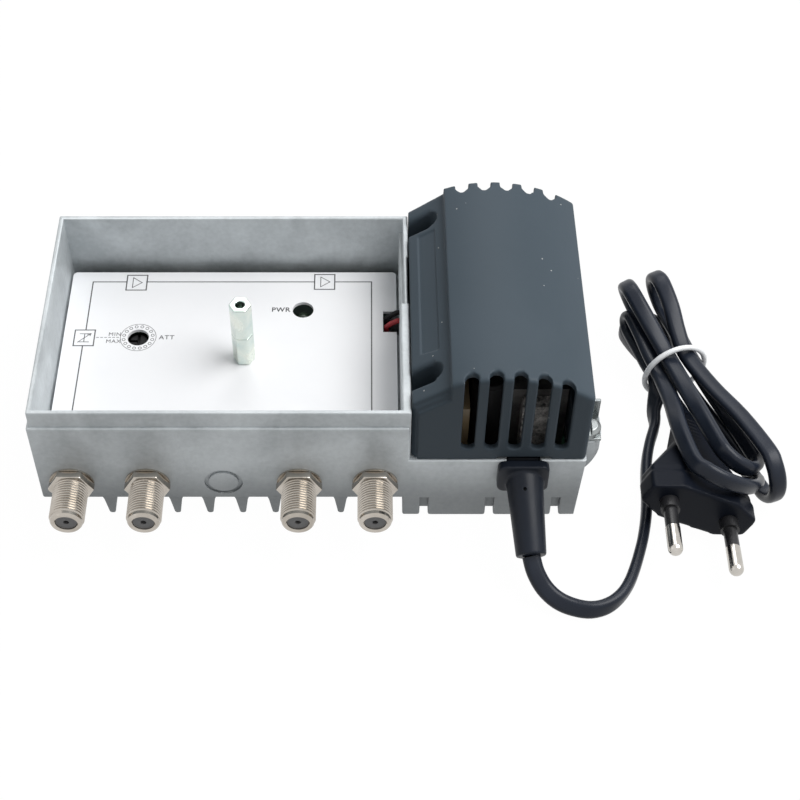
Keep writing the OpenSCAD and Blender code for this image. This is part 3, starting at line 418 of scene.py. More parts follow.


# the cast tone carries painted shade, darker towards the foot (foot share below)
castFinish = finish("castZinc", (0.43, 0.459, 0.474), (0.62, 0.654, 0.67), (0.56, 0.72), metal=0.6,
                    patch=55, speckle=700, speckleShare=0.9, bump=0.42, fineScale=1500, broadScale=160,
                    foot=0.52)
plateFinish = finish("whiteEnamel", (0.85, 0.855, 0.872), (0.885, 0.888, 0.90), (0.42, 0.48), patch=30,
                     bump=0.04, fineScale=900, more={"Specular IOR Level": 0.08})
inkFinish = finish("plateInk", (0.055, 0.055, 0.06), (0.085, 0.085, 0.09), (0.5, 0.6), patch=400)
spacerFinish = finish("zincPassivate", (0.58, 0.69, 0.66), (0.82, 0.85, 0.77), (0.16, 0.30), metal=1.0,
                      patch=160, speckle=1500, speckleShare=0.4, bump=0.08, fineScale=2500)
terminalFinish = finish("terminalZinc", (0.16, 0.175, 0.18), (0.31, 0.33, 0.33), (0.2, 0.36), metal=1.0,
                        patch=160, speckle=1500, speckleShare=0.4, bump=0.08, fineScale=2500)
nickelFinish = finish("nickelPlate", (0.40, 0.365, 0.32), (0.55, 0.51, 0.46), (0.16, 0.26), metal=1.0,
                      patch=120, speckle=900, speckleShare=0.3, bump=0.02, fineScale=1600)
pinFinish = finish("pinNickel", (0.50, 0.48, 0.44), (0.60, 0.57, 0.53), (0.1, 0.18), metal=1.0,
                   patch=300)
coverFinish = finish("slatePlastic", (0.053, 0.072, 0.089), (0.062, 0.082, 0.101), (0.42, 0.5),
                     patch=25, bump=0.10, fineScale=3200, broadScale=500, dust=0.12, dustScale=400,
                     more={"Specular IOR Level": 0.14})
cordFinish = finish("cordVinyl", (0.011, 0.015, 0.025), (0.015, 0.020, 0.032), (0.28, 0.36),
                    patch=90, bump=0.05, fineScale=2600, dust=0.02, dustScale=260,
                    more={"Specular IOR Level": 0.25})
plugFinish = finish("plugVinyl", (0.004, 0.006, 0.011), (0.006, 0.008, 0.014), (0.36, 0.46),
                    patch=90, bump=0.07, fineScale=2600, dust=0.03, dustScale=220,
                    more={"Specular IOR Level": 0.1})
bootFinish = finish("bootVinyl", (0.008, 0.011, 0.018), (0.011, 0.015, 0.024), (0.34, 0.44),
                    patch=90, bump=0.06, fineScale=2600, dust=0.02, dustScale=260,
                    more={"Specular IOR Level": 0.2})
tieFinish = finish("tiePlastic", (0.88, 0.90, 0.92), (0.94, 0.95, 0.96), (0.35, 0.45), patch=200)
blackFinish = finish("blackMoulding", (0.006, 0.006, 0.007), (0.011, 0.011, 0.012), (0.45, 0.6),
                     patch=150, bump=0.08, more={"Specular IOR Level": 0.2})
sleeveFinish = finish("pinSleeve", (0.010, 0.010, 0.011), (0.014, 0.014, 0.016), (0.3, 0.4), patch=200)
insulatorFinish = finish("socketInsulator", (0.16, 0.16, 0.165), (0.22, 0.22, 0.22), (0.35, 0.5),
                         patch=300)
contactFinish = finish("contactTin", (0.42, 0.40, 0.36), (0.55, 0.52, 0.46), (0.25, 0.35), metal=1.0,
                       patch=300)
boardFinish = finish("boardResist", (0.015, 0.06, 0.035), (0.025, 0.085, 0.05), (0.3, 0.45), patch=120,
                     speckle=900)
steelFinish = finish("tinnedSteel", (0.42, 0.42, 0.42), (0.58, 0.58, 0.57), (0.25, 0.4), metal=1.0,
                     patch=150, bump=0.05)
coreFinish = finish("coreVarnish", (0.06, 0.058, 0.056), (0.16, 0.155, 0.15), (0.4, 0.6), metal=0.3,
                    patch=250, speckle=1400, speckleShare=0.9, bump=0.3, fineScale=1200)
tapeFinish = finish("windingTape", (0.12, 0.115, 0.11), (0.78, 0.75, 0.72), (0.4, 0.6), patch=500,
                    speckle=1600, speckleShare=1.4, bump=0.3, fineScale=1500)
tanFinish = finish("dippedTan", (0.36, 0.27, 0.15), (0.44, 0.33, 0.19), (0.3, 0.45), patch=180, bump=0.1)
redFinish = finish("redInsulation", (0.30, 0.012, 0.018), (0.38, 0.02, 0.026), (0.35, 0.45), patch=300)
brownFinish = finish("brownInsulation", (0.09, 0.04, 0.02), (0.12, 0.055, 0.028), (0.35, 0.45),
                     patch=300)
lampFinish = finish("lampSmoked", (0.012, 0.022, 0.014), (0.02, 0.032, 0.02), (0.15, 0.22), patch=300)
glassFinish = finish("fuseGlass", (0.8, 0.84, 0.84), (0.86, 0.9, 0.9), (0.05, 0.08), patch=200,
                     more={"Transmission Weight": 0.85, "IOR": 1.5})
print("finishes ready")


def dress(piece, finishMade):
    piece.data.materials.clear()
    piece.data.materials.append(finishMade)


# mains cord: the drawing's route, as one flat two-core tube
cordFacts = {"width": 5.0, "thick": 3.0, "sides": 20, "smooth": 4, "sleeveTip": 20.0, "twist": 7,
             "edgeAngle": 50}
sleeveAim = {"root": (131.7, -2.6, 18.4), "tilt": 23.0, "swing": 3.75}
leadRoute = [
    (134, -24.4, 8.2), (136.4, -27.7, 5.5), (139.9, -30.3, 3.6), (144.2, -32, 2.8),
    (148.8, -32.7, 2.7), (153.2, -31.4, 2.7), (156.8, -28.4, 2.7), (159.5, -24.4, 2.7),
    (161.6, -19.6, 2.7), (163.4, -14.5, 2.7), (164.9, -9.6, 2.7), (166.4, -3, 2.7),
    (167.4, 4, 2.7), (168, 11.5, 2.7), (168.9, 17.5, 2.7), (170.4, 23.4, 2.7)]
plugPlace = {"spot": (179.4, -6.5, 10.8), "yaw": -2.0, "pitch": -5.5, "roll": 24.0, "length": 35.0}
hankPlace = {"spot": (179.0, 44.6), "turn": 18.0, "tieHeight": 10.25, "runSteps": 6, "turnSteps": 6,
             "bulge": 9}
tiePlaces = [(-5.7, -1.6), (-5.6, 2), (-0.1, 0), (-2.5, 5.6), (5.5, 1.8), (3, 5.6), (1.9, -4.9),
             (-1.9, -4.9)]
tieTilts = [0, 0, 0, 0, 0, 0, 90, 90]
farTurns = [(18, (-5.8, 9.6), (-5.8, 16), 0), (22, (0, 8), (-5.2, 22.3), 0),
            (23, (8.2, 8), (4.8, 22.3), 0), (22.5, (7, 2.7), (-4.6, 2.7), 0)]
nearTurns = [(-39.5, (-14.4, 21.6), (6, 6.4), 3.7), (-36, (-5.2, 21), (6.8, 12.4), 0),
             (-40.5, (7.7, 18.9), (8.5, 2.1), 0)]
hankStart = (-12, (-10.7, 2.8), 90)
lastRun = len(tiePlaces) - 1

plugTurn = (Matrix.Rotation(math.radians(plugPlace["yaw"]), 4, "Z")
            @ Matrix.Rotation(math.radians(plugPlace["pitch"]), 4, "X")
            @ Matrix.Rotation(math.radians(plugPlace["roll"]), 4, "Y"))
plugFrame = Matrix.Translation(at(*plugPlace["spot"])) @ plugTurn
hankTurn = math.radians(hankPlace["turn"])
hankAlong = Vector((-math.sin(hankTurn), math.cos(hankTurn), 0))
hankAcross = Vector((math.cos(hankTurn), math.sin(hankTurn), 0))
plugEnd = Vector(plugPlace["spot"]) + plugTurn.to_3x3() @ Vector((0, plugPlace["length"], 0))
plugOffset = plugEnd - Vector((*hankPlace["spot"], 0))
hankEnd = (plugOffset.dot(hankAlong), (plugOffset.dot(hankAcross), plugEnd.z),
           180 - plugPlace["roll"])


def turnTilt(turn):
    dv, dz = turn[1][0] - turn[2][0], turn[1][1] - turn[2][1]
    if dz == 0:
        return 90
    return math.degrees(math.atan2(-dv, dz)) if dz > 0 else math.degrees(math.atan2(dv, -dz))


def runEnds(k):
    if k == 0:
        first = hankStart
    else:
        turn = farTurns[(k - 1) // 2] if k % 2 else nearTurns[k // 2 - 1]
        first = (turn[0], turn[2], turnTilt(turn))
    if k == lastRun:
        return first, hankEnd
    turn = nearTurns[(k - 1) // 2] if k % 2 else farTurns[k // 2]
    return first, (turn[0], turn[1], turnTilt(turn))


def between(a, b, t):
    e = t * t * (3 - 2 * t)
    return (a[0] + (b[0] - a[0]) * t, a[1][0] + (b[1][0] - a[1][0]) * e,
            a[1][1] + (b[1][1] - a[1][1]) * e, a[2] + (b[2] - a[2]) * e)


def hankStations():
    stations = []
    half = hankPlace["runSteps"] // 2
    for k in range(lastRun + 1):
        first, last = runEnds(k)
        tie = (0, (tiePlaces[k][0], tiePlaces[k][1] + hankPlace["tieHeight"]), tieTilts[k])
        for i in range(hankPlace["runSteps"] + 1):
            stations.append(between(first, tie, i / half) if i < half
                            else between(tie, last, i / half - 1))
        if k == lastRun:
            break
        turn, way = (nearTurns[(k - 1) // 2], -1) if k % 2 else (farTurns[k // 2], 1)
        midV, midZ = (turn[1][0] + turn[2][0]) / 2, (turn[1][1] + turn[2][1]) / 2
        halfV, halfZ = (turn[1][0] - turn[2][0]) / 2, (turn[1][1] - turn[2][1]) / 2
        bulge = min(math.hypot(halfV, halfZ), hankPlace["bulge"])
        for i in range(1, hankPlace["turnSteps"]):
            a = math.pi * i / hankPlace["turnSteps"]
            stations.append((turn[0] + way * bulge * math.sin(a), midV + halfV * math.cos(a),
                             midZ + halfZ * math.cos(a) + turn[3] * math.sin(a), turnTilt(turn)))
    return stations


tilt, swing = math.radians(sleeveAim["tilt"]), math.radians(sleeveAim["swing"])
sleeveWay = Vector((math.sin(swing) * math.cos(tilt), -math.cos(swing) * math.cos(tilt),
                    -math.sin(tilt)))
sleeveTip = Vector(sleeveAim["root"]) + sleeveWay * cordFacts["sleeveTip"]
cordLine = [sleeveTip] + [Vector(p) for p in leadRoute]
cordWide = []
for i in range(len(cordLine)):
    way = sleeveWay if i == 0 else cordLine[min(i + 1, len(cordLine) - 1)] - cordLine[i - 1]
    level = Vector((-way.y, way.x, 0)).normalized()
    lean = math.radians(min(i / cordFacts["twist"], 1) * 90)
    cordWide.append(level * math.cos(lean) + Vector((0, 0, 1)) * math.sin(lean))
for u, v, z, lean in hankStations():
    cordLine.append(Vector((*hankPlace["spot"], z)) + hankAlong * u + hankAcross * v)
    lean = math.radians(lean)
    cordWide.append(hankAcross * math.cos(lean) + Vector((0, 0, 1)) * math.sin(lean))


def smoothLine(points, steps):
    line = []
    for i in range(len(points) - 1):
        a, b = points[max(i - 1, 0)], points[i]
        c, d = points[i + 1], points[min(i + 2, len(points) - 1)]
        for k in range(steps):
            t = k / steps
            line.append(0.5 * (2 * b + (c - a) * t + (2 * a - 5 * b + 4 * c - d) * t * t
                               + (3 * b - a - 3 * c + d) * t ** 3))
    return line + [points[-1]]


def flatTube(line, wides, facts, name):
    core = facts["thick"] / 2
    off = facts["width"] / 2 - core
    half = facts["sides"] // 2
    section = []
    for side in (1, -1):
        for k in range(half):
            a = math.pi * (k / (half - 1) - 0.5)
            section.append((side * (off + core * math.cos(a)), side * core * math.sin(a)))
    verts, faces = [], []
    n = len(section)
    for i, p in enumerate(line):
        way = (line[min(i + 1, len(line) - 1)] - line[max(i - 1, 0)]).normalized()
        wide = (wides[i] - way * wides[i].dot(way)).normalized()
        thin = way.cross(wide)
        for w, t in section:
            verts.append(at(*(p + wide * w + thin * t)))
        if i:
            for j in range(n):
                a, b = (i - 1) * n + j, (i - 1) * n + (j + 1) % n
                faces.append((a, b, b + n, a + n))
    faces.append(tuple(range(n - 1, -1, -1)))
    faces.append(tuple(range((len(line) - 1) * n, len(line) * n)))
    made = bpy.data.meshes.new(name)
    made.from_pydata(verts, [], faces)
    piece = bpy.data.objects.new(name, made)
    bpy.context.scene.collection.objects.link(piece)
    outward(piece)
    smoothBy(piece, facts["edgeAngle"])
    return piece


cordPath = smoothLine(cordLine, cordFacts["smooth"])
mainsCord = flatTube(cordPath, smoothLine(cordWide, cordFacts["smooth"]), cordFacts, "mainsCord")
dress(mainsCord, cordFinish)
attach(mainsCord, "amplifier")
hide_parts("mains_lead", "mains_hank")

# plug: the drawn body with its edges rounded, and a ribbed grip
plugFacts = {"grain": 0.4, "melt": 14, "edgeAngle": 40, "gripStart": 21, "gripWide": (13, 5.6),
             "gripThick": (10.5, 4.9), "ribs": 6, "ribStart": 22.5, "ribStep": 1.7, "ribShare": 0.74,
             "ribLong": 0.8, "ribProud": 0.5, "ribBevel": 0.3, "pinPitch": 18.8, "pinLength": 18.6,
             "pinBare": 9.0, "pinRadius": 2.0, "pinNeck": 0.5, "pinCore": 0.02, "pinDeep": 5,
             "pinSteps": 6, "pinSides": 32}
plugShell = copyOf("plug_body", "plugShell")
mouldRound(plugShell, plugFacts["grain"], plugFacts["melt"])
ribs = []
for k in range(plugFacts["ribs"]):
    y = plugFacts["ribStart"] + k * plugFacts["ribStep"]
    share = (y - plugFacts["gripStart"]) / (plugPlace["length"] - plugFacts["gripStart"])
    wide, thick = (full - loss * share for full, loss in (plugFacts["gripWide"], plugFacts["gripThick"]))
    ribs.append(block((wide * plugFacts["ribShare"], plugFacts["ribLong"], thick + plugFacts["ribProud"]),
                      (0, y * mm, 0), plugFacts["ribBevel"], "gripRib"))
gripRibs = joinAll(ribs, "gripRibs")
gripRibs.matrix_world = plugFrame
settle(gripRibs)
smoothBy(gripRibs, plugFacts["edgeAngle"])
plugShell = joinAll([plugShell, gripRibs], "plugShell")
dress(plugShell, plugFinish)
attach(plugShell, "amplifier")
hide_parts("plug_body")

pinRound, pinEnd = plugFacts["pinRadius"], -plugFacts["pinLength"]
pinNeck, pinStep = pinRound - plugFacts["pinNeck"], pinEnd + plugFacts["pinBare"]
pinProfile = [(plugFacts["pinCore"], pinEnd)]
for k in range(1, plugFacts["pinSteps"] + 1):
    a = math.radians(90 / plugFacts["pinSteps"] * k)
    pinProfile.append((pinRound * math.sin(a), pinEnd + pinRound * (1 - math.cos(a))))
pinProfile += [(pinRound, pinStep), (pinNeck, pinStep), (pinNeck, plugFacts["pinDeep"]),
               (plugFacts["pinCore"], plugFacts["pinDeep"])]
pinPieces = []
for side in (-1, 1):
    pin = turned(pinProfile, plugFacts["pinSides"], "plugPin")
    pin.matrix_world = (plugFrame @ Matrix.Translation((side * plugFacts["pinPitch"] / 2 * mm, 0, 0))
                        @ Matrix.Rotation(math.radians(-90), 4, "X"))
    settle(pin)
    pinPieces.append(pin)
plugPins = joinAll(pinPieces, "plugPins")
openMesh(plugPins)
bpy.ops.mesh.select_all(action="DESELECT")
bpy.ops.mesh.select_non_manifold()
bpy.ops.mesh.edge_face_add()
closeMesh()
outward(plugPins)
smoothBy(plugPins, plugFacts["edgeAngle"])
dress(plugPins, pinFinish)
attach(plugPins, "amplifier")
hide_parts("plug_pins")
dress(nodes["pin_sleeves"], sleeveFinish)
dress(nodes["cord_tie"], tieFinish)

# strain relief
bootFacts = {"grain": 0.3, "melt": 9, "radius": 4.9, "pinhole": 0.5, "pinholeLong": 6,
             "pinholeDeep": 1.5, "pinholeAlong": 2.7, "pinholeTurn": 8.6, "pinholeSides": 20}
leadBoot = copyOf("strain_relief", "leadBoot")
mouldRound(leadBoot, bootFacts["grain"], bootFacts["melt"])
bpy.ops.object.select_all(action="DESELECT")
bpy.ops.mesh.primitive_cylinder_add(vertices=bootFacts["pinholeSides"],
                                    radius=bootFacts["pinhole"] * mm,
                                    depth=bootFacts["pinholeLong"] * mm)
drill = fresh("drill")
sleeveTop = Matrix.Rotation(math.radians(bootFacts["pinholeTurn"]), 3, sleeveWay) @ (
    Vector((0, 0, 1)) - sleeveWay * sleeveWay.z).normalized()
drillOut = bootFacts["radius"] + bootFacts["pinholeLong"] / 2 - bootFacts["pinholeDeep"]
drillSpot = (Vector(sleeveAim["root"]) + sleeveWay * bootFacts["pinholeAlong"] + sleeveTop * drillOut)
drill.matrix_world = (Matrix.Translation(at(*drillSpot))
                      @ sleeveTop.to_track_quat("Z", "Y").to_matrix().to_4x4())
settle(drill)
useModifier(leadBoot, "BOOLEAN", operation="DIFFERENCE", object=drill, solver="EXACT")
bpy.data.objects.remove(drill)
dress(leadBoot, bootFinish)
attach(leadBoot, "amplifier")
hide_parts("strain_relief")
print("plug and strain relief done")

# casting
castFacts = {"edge": 0.8, "angle": 40, "common": 0.62, "finTip": 1.0, "finEnd": 0.1,
             "hidden": ((24.5, -29.0), (71.7, 43.0))}


def onFinTip(middle, normals):
    return middle.z < castFacts["finTip"] * mm


def leftSharp(x, y, z):  # what the cover hides, and the fins' ends, so that their tips show round
    (x0, y0), (x1, y1) = castFacts["hidden"]
    inside = y0 * mm < y < y1 * mm
    if x < x0 * mm:
        return z < castFacts["finEnd"] * mm and not inside
    return x0 * mm < x < x1 * mm and inside


castHousing = copyOf("housing", "castHousing")
softenEdges(castHousing, castFacts["edge"] * mm, castFacts["angle"], castFacts["common"], onFinTip,
            plain=True, leave=leftSharp)
dress(castHousing, castFinish)
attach(castHousing, "amplifier")
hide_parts("housing")

# power supply cover
coverFacts = {"edge": 1.5, "angle": 40, "right": 147.9, "slack": 0.2, "top": 44.0, "upward": 0.5,
              "endOn": 0.9, "grain": 0.3, "melt": 3, "keep": 0.3}


def coverMain(middle, normals):  # the crown's ends, the slope's ends and the right-hand corners
    onSide = middle.x > at(coverFacts["right"] - coverFacts["slack"], 0, 0).x
    onTop = middle.z > coverFacts["top"] * mm and max(n.z for n in normals) > coverFacts["upward"]
    return (onSide or onTop) and max(abs(n.y) for n in normals) > coverFacts["endOn"]


supplyCover = copyOf("psu_cover", "supplyCover")
softenEdges(supplyCover, coverFacts["edge"] * mm, coverFacts["angle"], common=0.0, isMain=coverMain)
mouldRound(supplyCover, coverFacts["grain"], coverFacts["melt"])
useModifier(supplyCover, "DECIMATE", ratio=coverFacts["keep"])
print("cover faces:", len(supplyCover.data.polygons))
dress(supplyCover, coverFinish)
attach(supplyCover, "amplifier")
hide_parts("psu_cover")
print("casting and cover done")

# coaxial sockets: turned barrel with its thread, and a hexagon
socketFacts = {"places": (9.0, 29.6, 70.8, 91.4), "height": 15.4, "reach": 14.0, "crest": 4.7625,
               "root": 4.36, "pitch": 0.794, "turns": 12, "groove": (0.12, 0.36, 0.5), "runOut": 0.3,
               "bore": 2.95, "mouth": 0.3, "shank": 4.0, "rim": 3.85, "rimOut": 0.12, "rimIn": 0.05,
               "nose": 0.55, "hexFlat": 11.0, "hexLow": 0.5, "hexThick": 2.2, "hexBevel": 0.35,
               "sides": 56, "edgeAngle": 35}


def socketProfile(facts):
    root, crest, bore, rim, tip = (facts[key] for key in ("root", "crest", "bore", "rim", "reach"))
    floor, rise, top = facts["groove"]
    d = facts["hexLow"] + facts["hexThick"]
    line = [(bore, -facts["shank"]), (crest, -facts["shank"]), (crest, d)]
    d += facts["runOut"]
    for k in range(facts["turns"]):
        line += [(root, d), (root, d + floor), (crest, d + rise), (crest, d + top)]
        d += facts["pitch"]
    line += [(root, d), (root, tip - facts["nose"]), (rim + facts["rimOut"], tip - facts["rimIn"]),
             (rim - facts["rimIn"], tip), (bore + facts["mouth"], tip), (bore, tip - facts["mouth"]),
             (bore, -facts["shank"])]
    return line


barrelMaster = turned(socketProfile(socketFacts), socketFacts["sides"], "barrelMaster")
hexRound = socketFacts["hexFlat"] / 2 / math.cos(math.pi / 6)
hexMiddle = socketFacts["hexLow"] + socketFacts["hexThick"] / 2
bpy.ops.object.select_all(action="DESELECT")
bpy.ops.mesh.primitive_cylinder_add(vertices=6, radius=hexRound * mm, depth=socketFacts["hexThick"] * mm,
                                    location=(0, 0, hexMiddle * mm))
hexMaster = fresh("hexMaster")
hexMaster.rotation_euler = (0, 0, math.radians(30))
settle(hexMaster)
openMesh(hexMaster)
bpy.ops.mesh.bevel(offset=socketFacts["hexBevel"] * mm, segments=2, affect="EDGES")
closeMesh()
socketMaster = joinAll([barrelMaster, hexMaster], "socketMaster")
smoothBy(socketMaster, socketFacts["edgeAngle"])
dress(socketMaster, nickelFinish)
for k, x in enumerate(socketFacts["places"]):
    socket = bpy.data.objects.new("coaxBarrel%d" % (k + 1), socketMaster.data.copy())
    bpy.context.scene.collection.objects.link(socket)
    spot = at(x, 0, socketFacts["height"])
    socket.matrix_world = Matrix.Translation(spot) @ Matrix.Rotation(math.radians(90), 4, "X")
    settle(socket)
    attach(socket, "amplifier")
    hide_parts("coax_socket_%d" % (k + 1))
bpy.data.objects.remove(socketMaster)
dress(nodes["lock_washers"], nickelFinish)
dress(nodes["socket_insulators"], insulatorFinish)
dress(nodes["socket_contacts"], contactFinish)
print("sockets done")

# spacer column
columnFacts = {"edge": 0.4, "angle": 50}
for nodeName, name in (("lower_spacer", "columnLower"), ("upper_spacer", "columnUpper")):
    column = copyOf(nodeName, name)
    softenEdges(column, columnFacts["edge"] * mm, columnFacts["angle"])
    dress(column, spacerFinish)
    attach(column, "amplifier")
    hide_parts(nodeName)
print("column done")

# print on the white plate: a plain block diagram
printFacts = {"line": 0.34, "thin": 0.22, "dash": 0.18, "level": 25.03, "spacing": 1.12,
              "knob": (24.0, 44.2), "ring": 5.15, "ringLine": 0.14, "ringSides": 64, "dots": 16,
              "dotRing": 4.15, "dot": (0.36, 0.52), "dotSides": 16, "dashes": 6, "dashStart": 12.1,
              "dashStep": 1.15, "dashLong": 0.6, "box": (5.9, 6.0)}
printLines = [(8.8, 66.1, 18.7, 66.1), (24.5, 66.1, 73.8, 66.1), (79.9, 66.1, 90.5, 66.1),
              (90.5, 66.1, 90.5, 3.6), (8.8, 66.1, 8.8, 47.1), (8.5, 41.0, 8.3, 3.6)]
printBoxes = [(18.7, 62.8), (73.8, 63.1)]
printArrow = [(1.8, 1.0, 1.8, 5.0), (1.8, 5.0, 4.5, 3.0), (4.5, 3.0, 1.8, 1.0)]
knobBox = (5.8, 41.05, 11.5, 47.05)
knobSign = [(7.3, 45.6, 10.0, 45.6), (7.3, 42.5, 10.0, 42.5), (8.65, 45.6, 8.65, 42.5),
            (6.9, 42.4, 10.4, 45.7), (10.4, 45.7, 9.5, 45.4), (10.4, 45.7, 10.2, 44.8)]
printWords = [  # letters, place, size, added weight
    ("PWR", 61.6, 54.2, 2.35, 0.05), ("ATT", 29.9, 43.5, 2.2, 0.012),
    ("MIN", 15.4, 44.8, 1.9, 0.0), ("MAX", 14.9, 42.1, 1.9, 0.0)]
inkPieces = []


def stroke(x0, y0, x1, y1, width):
    length = math.hypot(x1 - x0, y1 - y0)
    bpy.ops.object.select_all(action="DESELECT")
    bpy.ops.mesh.primitive_plane_add(size=1, location=(0, 0, 0))
    line = fresh("inkLine")
    line.matrix_world = (Matrix.Translation(at((x0 + x1) / 2, (y0 + y1) / 2, printFacts["level"]))
                         @ Matrix.Rotation(math.atan2(y1 - y0, x1 - x0), 4, "Z")
                         @ Matrix.Diagonal(((length + width) * mm, width * mm, 1, 1)))
    settle(line)
    inkPieces.append(line)


def frameBox(x0, y0, x1, y1):
    for a, b, c, d in ((x0, y0, x1, y0), (x1, y0, x1, y1), (x1, y1, x0, y1), (x0, y1, x0, y0)):
        stroke(a, b, c, d, printFacts["line"])


def ringMark(x, y, inner, outer, sides):
    bpy.ops.object.select_all(action="DESELECT")
    bpy.ops.mesh.primitive_circle_add(vertices=sides, radius=outer * mm, fill_type="NGON",
                                      location=(0, 0, 0))
    mark = fresh("inkRing")
    openMesh(mark)
    bpy.ops.mesh.inset(thickness=(outer - inner) * mm)
    bpy.ops.mesh.delete(type="FACE")
    closeMesh()
    mark.location = at(x, y, printFacts["level"])
    settle(mark)
    inkPieces.append(mark)


def word(letters, x, y, size, weight):
    bpy.ops.object.select_all(action="DESELECT")
    bpy.ops.object.text_add(location=(0, 0, 0))
    label = fresh("inkWord")
    label.data.body = letters
    label.data.size = size * mm
    label.data.space_character = printFacts["spacing"]
    label.data.offset = weight * mm
    pick(label)
    bpy.ops.object.convert(target="MESH")
    label = bpy.context.object
    label.location = at(x, y, printFacts["level"])
    settle(label)
    inkPieces.append(label)


for ends in printLines:
    stroke(*ends, printFacts["line"])
for left, low in printBoxes:
    frameBox(left, low, left + printFacts["box"][0], low + printFacts["box"][1])
    for a, b, c, d in printArrow:
        stroke(left + a, low + b, left + c, low + d, printFacts["thin"])
frameBox(*knobBox)
for ends in knobSign:
    stroke(*ends, printFacts["thin"])
knobX, knobY = printFacts["knob"]
for k in range(printFacts["dashes"]):
    x = printFacts["dashStart"] + k * printFacts["dashStep"]
    stroke(x, knobY, x + printFacts["dashLong"], knobY, printFacts["dash"])
ringMark(knobX, knobY, printFacts["ring"] - printFacts["ringLine"], printFacts["ring"],
         printFacts["ringSides"])
for k in range(printFacts["dots"]):
    a = 2 * math.pi * (k + 0.5) / printFacts["dots"]
    ringMark(knobX + printFacts["dotRing"] * math.cos(a), knobY + printFacts["dotRing"] * math.sin(a),
             *printFacts["dot"], printFacts["dotSides"])
for entry in printWords:
    word(*entry)
platePrint = joinAll(inkPieces, "platePrint")
outward(platePrint)
for face in platePrint.data.polygons:
    if face.normal.z < 0:
        face.flip()
dress(platePrint, inkFinish)
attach(platePrint, "amplifier")
dress(nodes["face_plate"], plateFinish)
print("plate print done")

# earth terminal
terminalFacts = {"edge": 0.25, "grain": 0.12, "melt": 3, "keep": 0.3}
earthClamp = copyOf("earth_clamp", "earthClamp")
softenEdges(earthClamp, terminalFacts["edge"] * mm, plain=True)
earthScrew = copyOf("earth_screw", "earthScrew")
mouldRound(earthScrew, terminalFacts["grain"], terminalFacts["melt"])
useModifier(earthScrew, "DECIMATE", ratio=terminalFacts["keep"])
for piece, nodeName in ((earthClamp, "earth_clamp"), (earthScrew, "earth_screw")):
    dress(piece, terminalFinish)
    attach(piece, nodeName)
    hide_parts(nodeName)

# what shows through the holes and vents keeps the drawn solids
for nodeName, made in (
        ("attenuator_knob", blackFinish), ("attenuator_case", blackFinish), ("power_lamp", lampFinish),
        ("amplifier_board", boardFinish), ("psu_board", boardFinish), ("amplifier_modules", blackFinish),
        ("filter_cans", steelFinish), ("supply_header", blackFinish), ("supply_lead_red", redFinish),
        ("supply_lead_black", blackFinish), ("board_screws", steelFinish), ("cover_screws", steelFinish),
        ("transformer_core", coreFinish), ("transformer_winding", tapeFinish),
        ("smoothing_capacitors", blackFinish), ("mains_capacitor", tanFinish), ("fuse", glassFinish),
        ("fuse_clips", steelFinish), ("heat_sink", steelFinish), ("regulator", blackFinish),
        ("inner_mains_leads", brownFinish)):
    dress(nodes[nodeName], made)
print("terminal and inner parts done")

# stage: white floor that keeps a soft shadow, white surroundings, soft lamps
stageFacts = {"floor": 3.0, "drop": 0.0002, "white": 0.94, "glow": 1.05, "bounce": 0.35,
              "surround": 0.25}


def brightTo(tree):  # 1 where the camera, a reflection or a clear piece looks
    light = tree.nodes.new("ShaderNodeLightPath")
    first = tree.nodes.new("ShaderNodeMath")
    first.operation = "MAXIMUM"
    second = tree.nodes.new("ShaderNodeMath")
    second.operation = "MAXIMUM"
    tree.links.new(light.outputs["Is Camera Ray"], first.inputs[0])
    tree.links.new(light.outputs["Is Glossy Ray"], first.inputs[1])
    tree.links.new(first.outputs[0], second.inputs[0])
    tree.links.new(light.outputs["Is Transmission Ray"], second.inputs[1])
    return second.outputs[0]


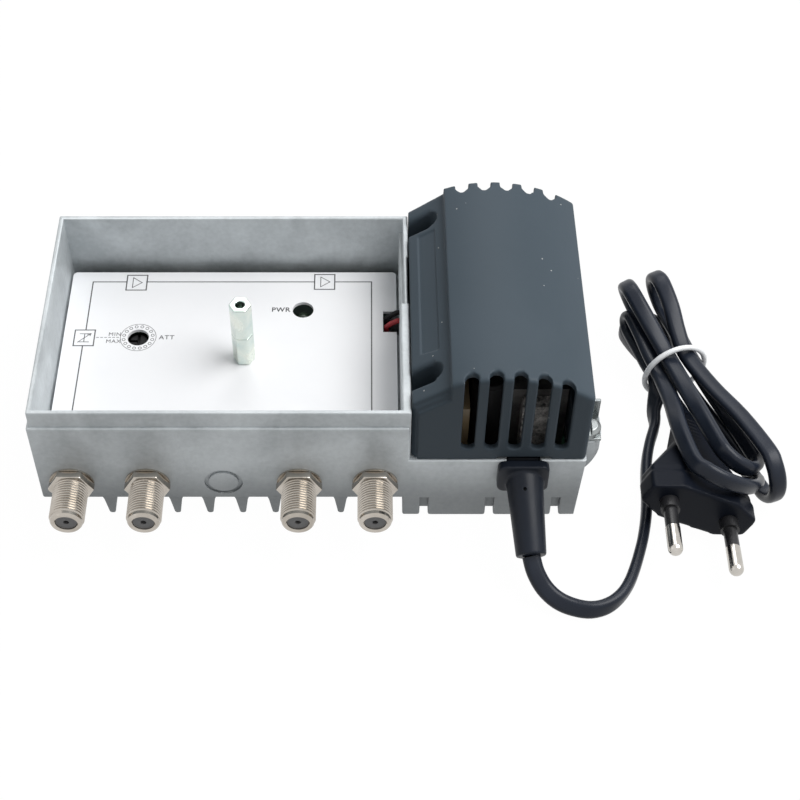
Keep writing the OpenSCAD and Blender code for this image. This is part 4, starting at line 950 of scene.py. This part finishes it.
bpy.ops.object.select_all(action="DESELECT")
bpy.ops.mesh.primitive_plane_add(size=stageFacts["floor"], location=(0, 0, -stageFacts["drop"]))
studioFloor = fresh("studioFloor")
floorFinish = bpy.data.materials.new("studioWhite")
floorFinish.use_nodes = True
floorTree = floorFinish.node_tree
floorTree.nodes.remove(floorTree.nodes["Principled BSDF"])
matte = floorTree.nodes.new("ShaderNodeBsdfDiffuse")
matte.inputs["Color"].default_value = [stageFacts["bounce"]] * 3 + [1]
glow = floorTree.nodes.new("ShaderNodeEmission")
glow.inputs["Strength"].default_value = stageFacts["glow"]
whiteShare = floorTree.nodes.new("ShaderNodeMath")
whiteShare.operation = "MULTIPLY"
whiteShare.inputs[1].default_value = stageFacts["white"]
mixed = floorTree.nodes.new("ShaderNodeMixShader")
floorTree.links.new(brightTo(floorTree), whiteShare.inputs[0])
floorTree.links.new(whiteShare.outputs[0], mixed.inputs["Fac"])
floorTree.links.new(matte.outputs[0], mixed.inputs[1])
floorTree.links.new(glow.outputs[0], mixed.inputs[2])
floorTree.links.new(mixed.outputs[0], floorTree.nodes["Material Output"].inputs["Surface"])
studioFloor.data.materials.append(floorFinish)

studioWorld = bpy.data.worlds.new("studioWorld")
bpy.context.scene.world = studioWorld
studioWorld.use_nodes = True
worldTree = studioWorld.node_tree
backdrop = worldTree.nodes["Background"]
backdrop.inputs["Color"].default_value = (1, 1, 1, 1)
level = worldTree.nodes.new("ShaderNodeMapRange")
level.inputs["To Min"].default_value = stageFacts["surround"]
level.inputs["To Max"].default_value = 1.0
worldTree.links.new(brightTo(worldTree), level.inputs["Value"])
worldTree.links.new(level.outputs["Result"], backdrop.inputs["Strength"])

lamps = [  # name, place, aim, size, power
    ("softKey", (0.45, 0.02, 0.75), (0.0, 0.0, 0.0), 0.7, 7.1),
    ("softBack", (0.05, 0.68, 0.75), (0.03, 0.0, 0.03), 0.5, 1.7),
    ("softLeft", (-0.7, -0.3, 0.5), (0.0, 0.0, 0.03), 0.5, 0.12),
]
for name, place, aim, size, power in lamps:
    bpy.ops.object.light_add(type="AREA", location=place)
    lamp = fresh(name)
    lamp.data.shape = "DISK"
    lamp.data.size = size
    lamp.data.energy = power
    lamp.rotation_euler = (Vector(aim) - Vector(place)).to_track_quat("-Z", "Y").to_euler()
print("stage lit")
